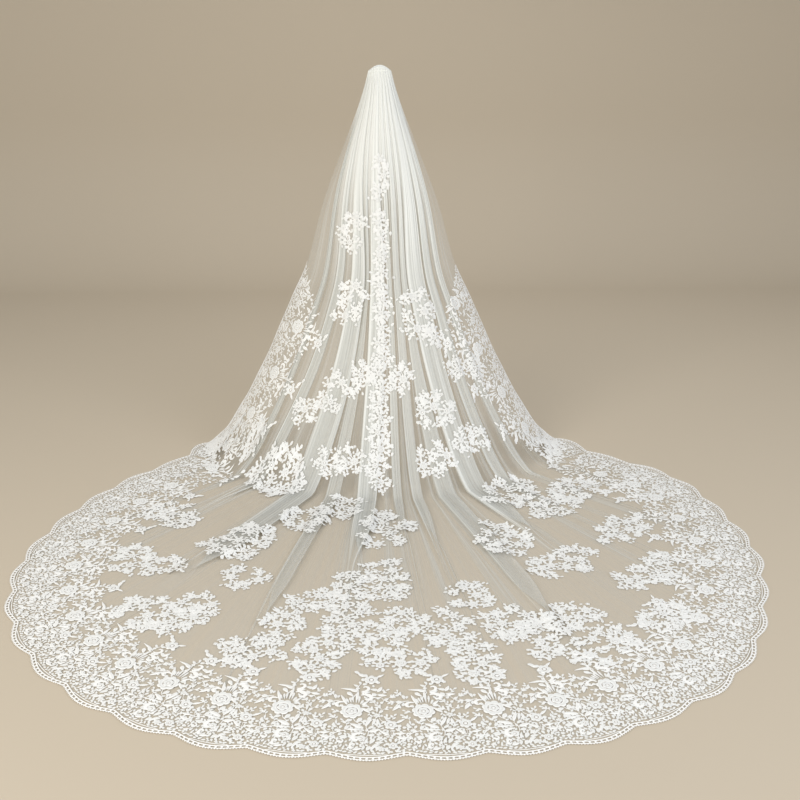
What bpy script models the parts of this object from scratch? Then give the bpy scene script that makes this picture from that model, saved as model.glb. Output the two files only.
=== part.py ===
"""Cathedral bridal veil on a comb, as it hangs from the back of a head and spreads on the floor.

Metres, +Z up. The origin is where the comb sits in the hair; the wearer faces +Y and the train runs to -Y.
Every point of the cloth is given by an azimuth, measured round the comb's axis from straight behind (-Y)
towards +X, and by a run: 0 at the gathered edge, 1 where the fall meets the floor, 2 at the hem.
"""

import bmesh
import bpy
import math
import numpy as np

COMB_HEIGHT = 1.68          # comb above the floor
TULLE_WALL = 0.0012
LACE_WALL = 0.0012
SEAM_GAP = 0.0003           # between pieces that meet
LACE_CLEARANCE = 0.0012     # between the tulle's outer face and the lace sewn over it
FOLD_CLEARANCE = 0.0076     # the same where a spray of lace bridges the folds of the fall
EDGE_AZIMUTH = 88.0         # the veil's free side edges, on the fall
HEM_EDGE_AZIMUTH = 80.0     # where the side edge has turned into the hem
TULLE_INSET = 0.020         # tulle edge inside the lace's mean outline

# The fall, from the gathered edge down: half the width seen from behind, and how far the cloth stands
# behind the comb. The last row lies on the floor, so that the fall lands flat.
FALL_COLUMNS = ("run", "height", "half_width", "depth")
FALL_ROWS = (
    (0.00, 1.680, 0.049, 0.030),
    (0.04, 1.630, 0.062, 0.052),
    (0.09, 1.540, 0.092, 0.080),
    (0.18, 1.357, 0.166, 0.120),
    (0.30, 1.142, 0.250, 0.162),
    (0.46, 0.851, 0.336, 0.222),
    (0.56, 0.689, 0.412, 0.272),
    (0.70, 0.450, 0.520, 0.352),
    (0.85, 0.204, 0.652, 0.462),
    (0.95, 0.045, 0.765, 0.590),
    (1.00, 0.000, 0.835, 0.690),
    (1.10, 0.000, 0.970, 0.840),
)

# The hem on the floor: distance from the comb's axis for each azimuth. The train lies a little wider on +X.
HEM_COLUMNS = ("azimuth", "reach")
HEM_ROWS = (
    (-80.0, 0.915),
    (-76.0, 0.985),
    (-70.0, 1.160),
    (-63.0, 1.370),
    (-56.0, 1.580),
    (-50.0, 1.755),
    (-45.0, 1.875),
    (-39.5, 1.985),
    (-34.0, 2.075),
    (-27.0, 2.160),
    (-20.0, 2.218),
    (-13.0, 2.252),
    (0.0, 2.262),
    (13.0, 2.280),
    (20.0, 2.252),
    (27.0, 2.205),
    (33.0, 2.120),
    (38.0, 2.030),
    (43.0, 1.935),
    (48.5, 1.835),
    (53.0, 1.735),
    (57.5, 1.625),
    (62.0, 1.525),
    (67.0, 1.415),
    (72.0, 1.265),
    (76.0, 1.085),
    (80.0, 0.975),
)

# The pleats, left to right. Azimuths in degrees at the gathered edge, half way down the fall, at the
# floor and at the hem; the width of the folded band in metres half way down and at the floor; how far
# its front layer stands out; and the run at which the overlap has opened out flat.
PLEAT_COLUMNS = ("top", "middle", "floor", "hem", "middle_width", "floor_width", "lift", "opens_at")
PLEAT_ROWS = (
    (-68.0, -45.0, -51.0, -50.0, 0.022, 0.032, 0.014, 1.18),
    (-54.0, -31.5, -42.5, -42.0, 0.030, 0.045, 0.015, 1.25),
    (-40.0, -17.0, -25.5, -31.5, 0.054, 0.098, 0.019, 1.62),
    (-27.0, -10.2, -15.5, -13.7, 0.014, 0.050, 0.016, 1.72),
    (-12.0, -3.0, -5.2, -4.5, 0.050, 0.068, 0.019, 1.42),
    (3.0, 5.2, 3.8, 4.0, 0.018, 0.030, 0.013, 1.30),
    (15.0, 10.6, 9.6, 9.0, 0.024, 0.036, 0.014, 1.36),
    (27.0, 15.8, 18.5, 18.0, 0.020, 0.062, 0.016, 1.75),
    (40.5, 24.8, 28.4, 28.5, 0.060, 0.080, 0.019, 1.38),
    (54.5, 36.6, 39.8, 40.0, 0.030, 0.045, 0.015, 1.25),
    (68.0, 47.0, 51.5, 50.5, 0.022, 0.032, 0.014, 1.18),
)

# One pleat from foot to foot: its place when open, how far the overlap carries it (both as parts of the
# band's width) and its lift. The front layer runs right, the middle one back left, the third right again.
PLEAT_SECTION_COLUMNS = ("open_place", "overlap", "lift")
PLEAT_SECTION = (
    (-0.62, 0.00, 0.00),
    (-0.41, -0.11, 0.62),
    (-0.21, 0.69, 1.00),
    (0.00, 0.48, 0.70),
    (0.21, -0.61, 0.38),
    (0.41, -0.81, 0.06),
    (0.62, 0.00, 0.00),
)

GATHER_WIDTH = 0.0061       # a pleat's band at the gathered edge
GATHER_LIFT = 0.0078
RIDGE_LIFT = 0.011          # the narrow ridges between the pleats, half way down

FALL_RUNS = (0.0, 0.035, 0.09, 0.17, 0.27, 0.36, 0.455, 0.575, 0.70, 0.82, 0.92, 1.0)
TRAIN_RUNS = (1.0, 1.09, 1.22, 1.40, 1.60, 1.80, 2.0)
SIDE_STEPS = (0.22, 0.42, 0.62, 0.81, 1.0)   # plain columns from the last pleat to the side edge

# The scalloped border: lines across its width as distances inward from the mean outline, then its holes.
BORDER_LINES = (0.0, 0.038, 0.068, 0.130, 0.158, 0.250)
BORDER_HOLE_BANDS = (1, 3)          # the bands between those lines that are pierced
SCALLOP_PITCH = 0.217
SCALLOP_DEPTH = 0.022
SCALLOP_SOFTNESS = 1.2              # 1 is a sharp notch between the scallops
SCALLOP_STEPS = 6
INNER_WAVE = 0.035                  # how far the border's inner outline swells and draws in
SIDE_LACE_FROM = 6                  # the fall row at which the side border starts
SIDE_LACE_STEPS = 6                 # lace rows to one cloth row

# The centre-back lace column lies on the fifth pleat's front layer, from this fall row to the floor.
COLUMN_PLEAT = 4
COLUMN_LACE_FROM = 3
COLUMN_LACE_STEPS = 3
COLUMN_LACE_LINES = (0.05, 0.34, 0.66, 0.95)

# Separate sprays of lace on the fall: where the middle is, and how large.
FALL_SPRAY_COLUMNS = ("azimuth", "run", "across", "along")
FALL_SPRAY_ROWS = (
    (-25.5, 0.355, 0.076, 0.140),
    (-20.4, 0.525, 0.056, 0.150),
    (24.0, 0.555, 0.090, 0.160),
    (-21.8, 0.748, 0.084, 0.112),
    (22.5, 0.790, 0.130, 0.125),
    (35.0, 0.875, 0.150, 0.095),
    (-15.0, 0.905, 0.150, 0.095),
    (17.5, 0.910, 0.140, 0.090),
)

# Separate sprays on the train: distance is measured along the floor from the comb's axis.
TRAIN_SPRAY_COLUMNS = ("azimuth", "distance", "across", "along")
TRAIN_SPRAY_ROWS = (
    (0.2, 0.95, 0.180, 0.260),
    (-0.3, 1.32, 0.115, 0.300),
    (-20.3, 0.90, 0.170, 0.180),
    (-28.7, 1.16, 0.210, 0.200),
    (23.4, 1.13, 0.180, 0.220),
    (28.2, 1.37, 0.270, 0.140),
    (42.5, 1.02, 0.230, 0.140),
    (-8.4, 1.45, 0.190, 0.140),
    (10.9, 1.44, 0.140, 0.150),
    (-2.6, 1.63, 0.250, 0.150),
    (9.8, 1.66, 0.250, 0.140),
    (-12.9, 1.66, 0.150, 0.130),
    (18.6, 1.72, 0.150, 0.170),
    (-12.4, 1.83, 0.330, 0.130),
    (7.0, 1.86, 0.200, 0.130),
)
SPRAY_ROWS = (0.0, 0.30, 0.70, 1.0)  # where a spray's inner rows lie along it

COMB_WIDTH = 0.092
COMB_BAR = (0.0045, 0.0080)  # thick, high
COMB_PLACE = (0.0070, -0.0020)  # the bar's middle: in front of the gathered edge, and its height
COMB_TEETH = 15
TOOTH_LENGTH = 0.044
TOOTH_SIZE = (0.0024, 0.0026)


def column(rows, names, name):
    return np.array([row[names.index(name)] for row in rows], dtype=float)


def smooth(x, xs, ys):
    """Monotone cubic curve through the points (xs, ys), read at x."""
    x, xs, ys = np.asarray(x, float), np.asarray(xs, float), np.asarray(ys, float)
    steps = np.diff(xs)
    slopes = np.diff(ys) / steps
    product, total = slopes[:-1] * slopes[1:], slopes[:-1] + slopes[1:]
    inner = np.where(product > 0, 2 * product / np.where(product > 0, total, 1), 0)
    tangents = np.concatenate([[slopes[0]], inner, [slopes[-1]]])
    place = np.clip(np.searchsorted(xs, x, side="right") - 1, 0, len(xs) - 2)
    t = np.clip((x - xs[place]) / steps[place], 0, 1)
    return (
        (2 * t**3 - 3 * t**2 + 1) * ys[place]
        + (t**3 - 2 * t**2 + t) * steps[place] * tangents[place]
        + (3 * t**2 - 2 * t**3) * ys[place + 1]
        + (t**3 - t**2) * steps[place] * tangents[place + 1]
    )


def fade(x, start, end):
    """1 before start, 0 after end, and a smooth fall between them."""
    t = np.clip((np.asarray(x, float) - start) / (end - start), 0, 1)
    return 1 - t * t * (3 - 2 * t)


def ring(run):
    """Half width, depth and height of the fall at a run from 0 to 1."""
    runs = column(FALL_ROWS, FALL_COLUMNS, "run")
    half_width = smooth(run, runs, column(FALL_ROWS, FALL_COLUMNS, "half_width"))
    depth = smooth(run, runs, column(FALL_ROWS, FALL_COLUMNS, "depth"))
    height = smooth(run, runs, column(FALL_ROWS, FALL_COLUMNS, "height"))
    return half_width, depth, height


def base_point(azimuth, run, inset=TULLE_INSET):
    """The cloth's middle surface without its folds, above a floor at -COMB_HEIGHT."""
    azimuth, run = np.broadcast_arrays(np.asarray(azimuth, float), np.asarray(run, float))
    angle = np.radians(azimuth)
    half_width, depth, height = ring(np.minimum(run, 1.0))
    x, y = half_width * np.sin(angle), -depth * np.cos(angle)
    azimuths, reaches = (column(HEM_ROWS, HEM_COLUMNS, name) for name in HEM_COLUMNS)
    reach = smooth(azimuth, azimuths, reaches) - inset
    train = np.clip(run - 1, 0, None)
    x = x + train * (reach * np.sin(angle) - x)
    y = y + train * (-reach * np.cos(angle) - y)
    return np.stack([x, y, height + TULLE_WALL / 2 - COMB_HEIGHT], -1)


def base_normal(azimuth, run):
    """The outward (on the train, upward) direction of the unfolded cloth."""
    step = 0.01
    across = base_point(azimuth + step, run) - base_point(azimuth - step, run)
    along = base_point(azimuth, run + step * 0.1) - base_point(azimuth, np.maximum(run - step * 0.1, 0))
    normal = np.cross(along, across)
    return normal / np.linalg.norm(normal, axis=-1, keepdims=True)


def metres_per_degree(azimuth, run):
    step = 0.5
    across = base_point(azimuth + step, run) - base_point(azimuth - step, run)
    return np.linalg.norm(across, axis=-1) / (2 * step)


def between(run, top, middle, floor, hem):
    """A value read along the run from its sizes at the four named levels."""
    return smooth(run, (0.0, 0.5, 1.0, 2.0), (top, middle, floor, hem))


def pleat_columns(row):
    """Seven columns of cloth for one pleat, as functions of the run that return azimuth and lift."""
    pleat = dict(zip(PLEAT_COLUMNS, row))

    def make(place, overlap, lift):
        def at(run):
            centre = between(run, pleat["top"], pleat["middle"], pleat["floor"], pleat["hem"])
            floor_width, opens_at = pleat["floor_width"], pleat["opens_at"]
            width = between(run, GATHER_WIDTH, pleat["middle_width"], floor_width, floor_width)
            opened = fade(run, opens_at - 0.30, opens_at - 0.05) * (1 - 0.9 * fade(run, 0.0, 0.06))
            offset = width * (place + overlap * opened)
            stand = between(run, GATHER_LIFT, pleat["lift"], pleat["lift"] * 0.85, pleat["lift"] * 0.85)
            stand = stand * fade(run, opens_at - 0.22, opens_at + 0.08)
            return centre + offset / metres_per_degree(centre, run), stand * lift

        return at

    return [make(*section) for section in PLEAT_SECTION]


def ridge_column(left, right):
    """One standing ridge between two pleats' facing feet."""

    def at(run):
        azimuth = (left(run)[0] + right(run)[0]) / 2
        lift = between(run, GATHER_LIFT * 0.6, RIDGE_LIFT, RIDGE_LIFT * 0.6, 0.0)
        return azimuth, lift * fade(run, 0.9, 1.35)

    return at


def side_column(foot, part, side):
    """A plain column part of the way from the last pleat's foot to the free side edge."""

    def at(run):
        edge = side * between(run, 86.0, EDGE_AZIMUTH, EDGE_AZIMUTH, HEM_EDGE_AZIMUTH)
        start = foot(run)[0]
        ripple = 0.005 * math.sin(3 * math.pi * part) * math.sin(math.pi * part) * fade(run, 0.85, 1.05)
        return start + (edge - start) * part, abs(ripple) * np.ones_like(np.asarray(run, float))

    return at


def cloth_columns():
    pleats = [pleat_columns(row) for row in PLEAT_ROWS]
    columns = [side_column(pleats[0][0], part, -1) for part in reversed(SIDE_STEPS)]
    for index, pleat in enumerate(pleats):
        columns += pleat
        if index + 1 < len(pleats):
            columns.append(ridge_column(pleat[-1], pleats[index + 1][0]))
    columns += [side_column(pleats[-1][-1], part, 1) for part in SIDE_STEPS]
    return columns


COLUMNS = cloth_columns()


def cloth_grid(runs):
    """The folded cloth's middle surface: one row of the grid for each column of cloth."""
    runs = np.asarray(runs, float)
    points = []
    for at in COLUMNS:
        azimuth, lift = at(runs)
        points.append(base_point(azimuth, runs) + base_normal(azimuth, runs) * lift[:, None])
    return np.array(points)


def new_material(name, colour, roughness, metallic=0.0):
    material = bpy.data.materials.new(name)
    material.use_nodes = True
    shader = material.node_tree.nodes["Principled BSDF"]
    shader.inputs["Base Color"].default_value = (*colour, 1)
    shader.inputs["Roughness"].default_value = roughness
    shader.inputs["Metallic"].default_value = metallic
    return material


def new_object(name, vertices, faces, material, collection):
    mesh = bpy.data.meshes.new(name)
    mesh.from_pydata([tuple(map(float, vertex)) for vertex in vertices], [], faces)
    mesh.update()
    mesh.materials.append(material)
    thing = bpy.data.objects.new(name, mesh)
    collection.objects.link(thing)
    return thing


def walled_grid(name, outer, inner, material, collection, holes=()):
    """A closed wall between two grids of points, outer and inner, less the cells listed in holes."""
    rows, cols = outer.shape[:2]
    count = rows * cols
    vertices = np.concatenate([outer.reshape(-1, 3), inner.reshape(-1, 3)])
    holes = set(holes)

    def at(i, j):
        return i * cols + j

    def solid(i, j):
        return 0 <= i < rows - 1 and 0 <= j < cols - 1 and (i, j) not in holes

    faces = []
    for i in range(rows - 1):
        for j in range(cols - 1):
            if not solid(i, j):
                continue
            a, b, c, d = at(i, j), at(i, j + 1), at(i + 1, j + 1), at(i + 1, j)
            for first, second, third in ((a, b, c), (a, c, d)):
                faces.append((first, second, third))
                faces.append((third + count, second + count, first + count))
            beside = ((i - 1, j), (i, j + 1), (i + 1, j), (i, j - 1))
            for near, (first, second) in zip(beside, ((a, b), (b, c), (c, d), (d, a))):
                if not solid(*near):
                    faces.append((second, first, first + count, second + count))
    thing = new_object(name, vertices, faces, material, collection)
    drop_unused_points(thing)
    return thing


def drop_unused_points(thing):
    """Takes out the points that only the holes' faces would have used."""
    mesh = bmesh.new()
    mesh.from_mesh(thing.data)
    bmesh.ops.delete(mesh, geom=[vertex for vertex in mesh.verts if not vertex.link_faces], context="VERTS")
    mesh.to_mesh(thing.data)
    mesh.free()


def wall_normals(points):
    """Unit normals of a grid of points, averaged over the cells that meet at each point."""
    down = np.gradient(points, axis=1)
    across = np.gradient(points, axis=0)
    normals = np.cross(down, across)
    return normals / np.linalg.norm(normals, axis=-1, keepdims=True)


def make_tulle(collection, material):
    """The one gathered length of tulle, in the two stretches that show: the fall and the train."""
    runs = np.unique(FALL_RUNS + TRAIN_RUNS)
    points = cloth_grid(runs)
    normals = wall_normals(points)
    outer = points + normals * TULLE_WALL / 2
    inner = points - normals * TULLE_WALL / 2
    inner[..., 2] = np.maximum(inner[..., 2], -COMB_HEIGHT)
    seam = len(FALL_RUNS) - 1
    step = outer[:, seam + 1] - outer[:, seam]
    step = step / np.linalg.norm(step, axis=-1, keepdims=True) * SEAM_GAP / 2
    fall_outer, fall_inner = outer[:, : seam + 1].copy(), inner[:, : seam + 1].copy()
    train_outer, train_inner = outer[:, seam:].copy(), inner[:, seam:].copy()
    for wall in (fall_outer, fall_inner):
        wall[:, -1] -= step
    for wall in (train_outer, train_inner):
        wall[:, 0] += step
    walled_grid("tulle_fall", fall_outer, fall_inner, material, collection)
    walled_grid("tulle_train", train_outer, train_inner, material, collection)


def outer_cloth():
    """The tulle's outermost layer as a grid: its columns' azimuths, points and normals at every run."""
    runs = np.unique(FALL_RUNS + TRAIN_RUNS)
    points = cloth_grid(runs)
    outer = points + wall_normals(points) * TULLE_WALL / 2
    before = len(SIDE_STEPS)
    hidden = {before + 8 * pleat + layer for pleat in range(len(PLEAT_ROWS)) for layer in (3, 4, 5)}
    shown = [index for index in range(len(COLUMNS)) if index not in hidden]
    azimuths = np.array([COLUMNS[index](runs)[0] for index in shown])
    return runs, shown, azimuths, outer[shown], wall_normals(outer[shown])


def on_cloth(cloth, line, run):
    """The point on the tulle's flat facets at a fractional column and a run, and the normal there."""
    runs, _, _, points, normals = cloth
    line, run = np.broadcast_arrays(np.asarray(line, float), np.asarray(run, float))
    column_index = np.clip(line.astype(int), 0, len(points) - 2)
    row_index = np.clip(np.searchsorted(runs, run, side="right") - 1, 0, len(runs) - 2)
    s = (line - column_index)[..., None]
    t = ((run - runs[row_index]) / (runs[row_index + 1] - runs[row_index]))[..., None]
    found = []
    for grid in (points, normals):
        near, far = grid[column_index, row_index], grid[column_index + 1, row_index + 1]
        low, side = grid[column_index, row_index + 1], grid[column_index + 1, row_index]
        lower = near + t * (low - near) + s * (far - low)
        found.append(np.where(t >= s, lower, near + s * (side - near) + t * (far - side)))
    return found[0], found[1] / np.linalg.norm(found[1], axis=-1, keepdims=True)


def make_lace_patch(
    name, cloth, lines, runs, holes, collection, material, outward=None, clearance=LACE_CLEARANCE
):
    """Lace sewn over the tulle: the cloth's own points at these lines and runs, moved out."""
    line, run = np.meshgrid(lines, runs, indexing="ij")
    points, normals = on_cloth(cloth, line, run)
    if outward is not None:
        points = points + outward
    inner = points + normals * clearance
    outer = inner + normals * LACE_WALL
    return walled_grid(name, outer, inner, material, collection, holes)


def rows_between(runs, first, last, steps):
    """Lace rows: each cloth row from first to last, in equal steps."""
    parts = [step / steps for step in range(steps)]
    rows = [runs[row] + (runs[row + 1] - runs[row]) * part for row in range(first, last) for part in parts]
    return rows + [runs[last]]


def make_side_border(cloth, side, collection, material):
    """The scalloped border up one free side edge, on the fall's plain side columns."""
    runs = cloth[0]
    rows = rows_between(runs, SIDE_LACE_FROM, len(FALL_RUNS) - 1, SIDE_LACE_STEPS)
    rows[-1] -= 0.002
    count = len(SIDE_STEPS)
    lines = np.arange(count) if side < 0 else np.arange(len(cloth[3]) - count, len(cloth[3]))[::-1]
    phase = np.arange(len(rows)) / SIDE_LACE_STEPS
    lobe = SCALLOP_DEPTH * (np.abs(np.sin(math.pi * phase)) ** SCALLOP_SOFTNESS - 0.5) + TULLE_INSET
    points, _ = on_cloth(cloth, lines[:2, None] + 0.0 * np.array(rows), np.array(rows)[None, :])
    direction = points[0] - points[1]
    direction = direction / np.linalg.norm(direction, axis=-1, keepdims=True)
    outward = np.zeros((count, len(rows), 3))
    outward[0] = direction * lobe[:, None]
    holes = []
    for row in range(len(rows) - 1):
        step = row % SIDE_LACE_STEPS
        shown = min(count - 1, 1 + row // 4)
        holes += [(band, row) for band in range(shown, count - 1)]
        if shown > 2 and step % 2 == 1:
            holes.append((1, row))
    name = "lace_side_left" if side < 0 else "lace_side_right"
    if side > 0:
        lines = lines[::-1]
        outward = outward[::-1]
        holes = [(count - 2 - band, row) for band, row in holes]
    make_lace_patch(name, cloth, lines, rows, holes, collection, material, outward)


def make_hem_border(collection, material):
    """The scalloped border round the hem: it lies flat on the tulle, which is flat there."""
    fine = np.linspace(-HEM_EDGE_AZIMUTH, HEM_EDGE_AZIMUTH, 1601)
    outline = base_point(fine, 2.0, 0.0)
    length = np.concatenate([[0], np.cumsum(np.linalg.norm(np.diff(outline, axis=0), axis=1))])
    scallops = round(length[-1] / SCALLOP_PITCH)
    steps = scallops * SCALLOP_STEPS
    azimuth = np.interp(np.linspace(0, length[-1], steps + 1), length, fine)
    phase = np.arange(steps + 1) / SCALLOP_STEPS
    point = base_point(azimuth, 2.0, 0.0)
    ahead = base_point(azimuth + 0.2, 2.0, 0.0) - base_point(azimuth - 0.2, 2.0, 0.0)
    outward = np.stack([ahead[:, 1], -ahead[:, 0], 0 * ahead[:, 2]], -1)
    outward = outward / np.linalg.norm(outward, axis=-1, keepdims=True)
    start = base_point(azimuth, 1.0, 0.0)
    radial = point - start
    room = np.linalg.norm(radial, axis=-1)
    radial = radial / room[:, None]
    slant = np.sum(radial * outward, -1)
    swell = 1 + INNER_WAVE / BORDER_LINES[-1] * np.sin(math.pi * phase * 0.8)
    lobe = SCALLOP_DEPTH * (np.abs(np.sin(math.pi * phase)) ** SCALLOP_SOFTNESS - 0.5)
    grid = []
    for distance in BORDER_LINES:
        wave = swell if distance == BORDER_LINES[-1] else 1.0
        inward = np.minimum(distance * wave / slant, (room - 0.012) * distance / BORDER_LINES[-1])
        grid.append(point - radial * inward[:, None])
    grid = np.array(grid)
    grid[0] += outward * lobe[:, None]
    grid[..., 2] = TULLE_WALL + LACE_CLEARANCE - COMB_HEIGHT
    above = grid + np.array((0.0, 0.0, LACE_WALL))
    holes = []
    for band in BORDER_HOLE_BANDS:
        holes += [(band, step) for step in range(1, steps - 1) if step % 2 == 1]
    walled_grid("lace_hem", above, grid, material, collection, holes)


def make_lace_column(cloth, collection, material):
    """The narrow column of lace down the centre back, on the front layer of the centre pleat."""
    runs, shown = cloth[0], cloth[1]
    first = shown.index(len(SIDE_STEPS) + 8 * COLUMN_PLEAT + 1)
    rows = rows_between(runs, COLUMN_LACE_FROM, len(FALL_RUNS) - 1, COLUMN_LACE_STEPS)
    rows[-1] -= 0.002
    lines = [first + line for line in COLUMN_LACE_LINES]
    holes = [(1, row) for row in range(1, len(rows) - 2, 2)]
    make_lace_patch("lace_column", cloth, lines, rows, holes, collection, material)


def make_spray(name, cloth, azimuth, run, across, along, collection, material):
    """One spray of lace: a rounded patch of the cloth's own columns, moved out."""
    runs, _, azimuths, _, _ = cloth
    at_run = np.array([np.interp(run, runs, line) for line in azimuths])
    half = across / 2 / metres_per_degree(azimuth, run)
    low, high = np.interp((azimuth - half, azimuth + half), at_run, np.arange(len(at_run)))
    crossed = [index for index in range(len(at_run)) if low + 0.15 < index < high - 0.15]
    lines = [low, *crossed, high]
    if len(lines) < 4:
        lines = sorted(set(lines) | set(np.linspace(low, high, 4)))
        lines = [lines[0]] + [line for before, line in zip(lines, lines[1:]) if line - before > 0.05]
    step = 0.01
    per_run = np.linalg.norm(base_point(azimuth, run + step) - base_point(azimuth, run - step)) / (2 * step)
    start, end = run - along / 2 / per_run, run + along / 2 / per_run
    rows = [start + (end - start) * part for part in SPRAY_ROWS]
    rows = sorted(rows + [row for row in runs if start + 0.01 < row < end - 0.01])
    rows = [rows[0]] + [row for before, row in zip(rows, rows[1:]) if row - before > 0.004]
    last_band, last_row = len(lines) - 2, len(rows) - 2
    corners = [(0, 0), (last_band, 0), (0, last_row), (last_band, last_row)]
    clearance = FOLD_CLEARANCE if run < 1.2 else LACE_CLEARANCE
    make_lace_patch(name, cloth, lines, rows, corners, collection, material, clearance=clearance)


def make_sprays(cloth, collection, material):
    for index, row in enumerate(FALL_SPRAY_ROWS):
        spray = dict(zip(FALL_SPRAY_COLUMNS, row))
        name = f"spray_fall_{index + 1:02d}"
        make_spray(name, cloth, **spray, collection=collection, material=material)
    for index, row in enumerate(TRAIN_SPRAY_ROWS):
        spray = dict(zip(TRAIN_SPRAY_COLUMNS, row))
        distance = spray.pop("distance")
        ends = (base_point(spray["azimuth"], level)[:2] for level in (1.0, 2.0))
        floor, hem = (float(np.linalg.norm(end)) for end in ends)
        run = 1 + (distance - floor) / (hem - floor)
        name = f"spray_train_{index + 1:02d}"
        make_spray(name, cloth, run=run, **spray, collection=collection, material=material)


def make_comb(collection, material):
    """A plain hair comb: a bar across the gathered edge, with teeth pointing down into the hair."""
    mesh = bmesh.new()
    front, level = COMB_PLACE
    pieces = [((0, front, level), (COMB_WIDTH, COMB_BAR[0], COMB_BAR[1]))]
    for index in range(COMB_TEETH):
        x = (index / (COMB_TEETH - 1) - 0.5) * (COMB_WIDTH - TOOTH_SIZE[0])
        pieces.append(((x, front, level - TOOTH_LENGTH / 2), (TOOTH_SIZE[0], TOOTH_SIZE[1], TOOTH_LENGTH)))
    thing = None
    for place, size in pieces:
        bmesh.ops.create_cube(mesh, size=1.0)
        fresh = mesh.verts[-8:]
        for vertex in fresh:
            vertex.co = [p + c * s for p, c, s in zip(place, vertex.co, size)]
        part = bpy.data.meshes.new("comb_part")
        mesh.to_mesh(part)
        mesh.clear()
        piece = bpy.data.objects.new("comb" if thing is None else "tooth", part)
        collection.objects.link(piece)
        if thing is None:
            thing = piece
            thing.data.materials.append(material)
        else:
            join = thing.modifiers.new("tooth", "BOOLEAN")
            join.operation = "UNION"
            join.object = piece
            bpy.context.view_layer.update()
            evaluated = thing.evaluated_get(bpy.context.evaluated_depsgraph_get())
            merged = bpy.data.meshes.new_from_object(evaluated)
            thing.modifiers.clear()
            thing.data = merged
            bpy.data.objects.remove(piece)
    mesh.free()


def main():
    for thing in list(bpy.data.objects):
        bpy.data.objects.remove(thing)
    collection = bpy.data.collections.new("bridal_veil")
    bpy.context.scene.collection.children.link(collection)
    tulle = new_material("soft tulle", (0.86, 0.88, 0.86), 0.6)
    comb = new_material("clear acetate comb", (0.82, 0.80, 0.76), 0.3)
    lace = new_material("corded floral lace", (0.95, 0.95, 0.93), 0.7)
    make_tulle(collection, tulle)
    cloth = outer_cloth()
    for side in (-1, 1):
        make_side_border(cloth, side, collection, lace)
    make_hem_border(collection, lace)
    make_lace_column(cloth, collection, lace)
    make_sprays(cloth, collection, lace)
    make_comb(collection, comb)


main()
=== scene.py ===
import bpy
import math
import numpy as np
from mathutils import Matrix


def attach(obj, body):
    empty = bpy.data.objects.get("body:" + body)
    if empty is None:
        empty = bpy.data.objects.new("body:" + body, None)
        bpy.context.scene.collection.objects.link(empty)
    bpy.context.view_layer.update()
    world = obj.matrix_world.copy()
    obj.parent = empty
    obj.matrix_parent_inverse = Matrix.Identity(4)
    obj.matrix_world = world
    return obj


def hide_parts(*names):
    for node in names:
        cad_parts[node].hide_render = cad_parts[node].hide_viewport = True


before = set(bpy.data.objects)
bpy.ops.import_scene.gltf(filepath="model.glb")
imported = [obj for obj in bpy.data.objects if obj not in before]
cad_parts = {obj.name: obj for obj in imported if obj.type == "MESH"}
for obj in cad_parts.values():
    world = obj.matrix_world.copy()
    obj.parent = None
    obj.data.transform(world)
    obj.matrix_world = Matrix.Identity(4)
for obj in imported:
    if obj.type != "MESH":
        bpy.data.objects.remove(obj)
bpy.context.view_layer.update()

# Places on the veil are given by an azimuth, in degrees round the comb's axis from straight behind towards
# +X, and a run: 0 at the gathered edge, 1 where the fall meets the floor, 2 at the hem.
veil = {
    "combHeight": 1.68,
    "wall": 0.0012,
    "topEdgeAzimuth": 86.0,    # free side edges at the comb
    "edgeAzimuth": 88.0,       # and on the fall
    "hemEdgeAzimuth": 80.0,    # where they have turned into the hem
    "tulleInset": 0.020,       # cut edge of the tulle inside the border's mean outline
    "fineColumns": 8,          # mesh columns to one fold column
    "fallRows": 64,
    "trainRows": 62,
    "cutWidth": 3.0,
}
fallShape = {
    "run": (0.00, 0.04, 0.09, 0.18, 0.30, 0.46, 0.56, 0.70, 0.85, 0.95, 1.00, 1.10),
    "height": (1.680, 1.630, 1.540, 1.357, 1.142, 0.851, 0.689, 0.450, 0.204, 0.045, 0.000, 0.000),
    "halfWidth": (0.049, 0.062, 0.092, 0.166, 0.250, 0.336, 0.412, 0.520, 0.652, 0.765, 0.835, 0.970),
    "depth": (0.030, 0.052, 0.080, 0.120, 0.162, 0.222, 0.272, 0.352, 0.462, 0.590, 0.690, 0.840),
}
hemShape = {
    "azimuth": (
        -80.0, -76.0, -70.0, -63.0, -56.0, -50.0, -45.0, -39.5, -34.0, -27.0, -20.0, -13.0, 0.0, 13.0,
        20.0, 27.0, 33.0, 38.0, 43.0, 48.5, 53.0, 57.5, 62.0, 67.0, 72.0, 76.0, 80.0,
    ),
    "reach": (
        0.915, 0.985, 1.160, 1.370, 1.580, 1.755, 1.875, 1.985, 2.075, 2.160, 2.218, 2.252, 2.262, 2.280,
        2.252, 2.205, 2.120, 2.030, 1.935, 1.835, 1.735, 1.625, 1.525, 1.415, 1.265, 1.085, 0.975,
    ),
}
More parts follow.
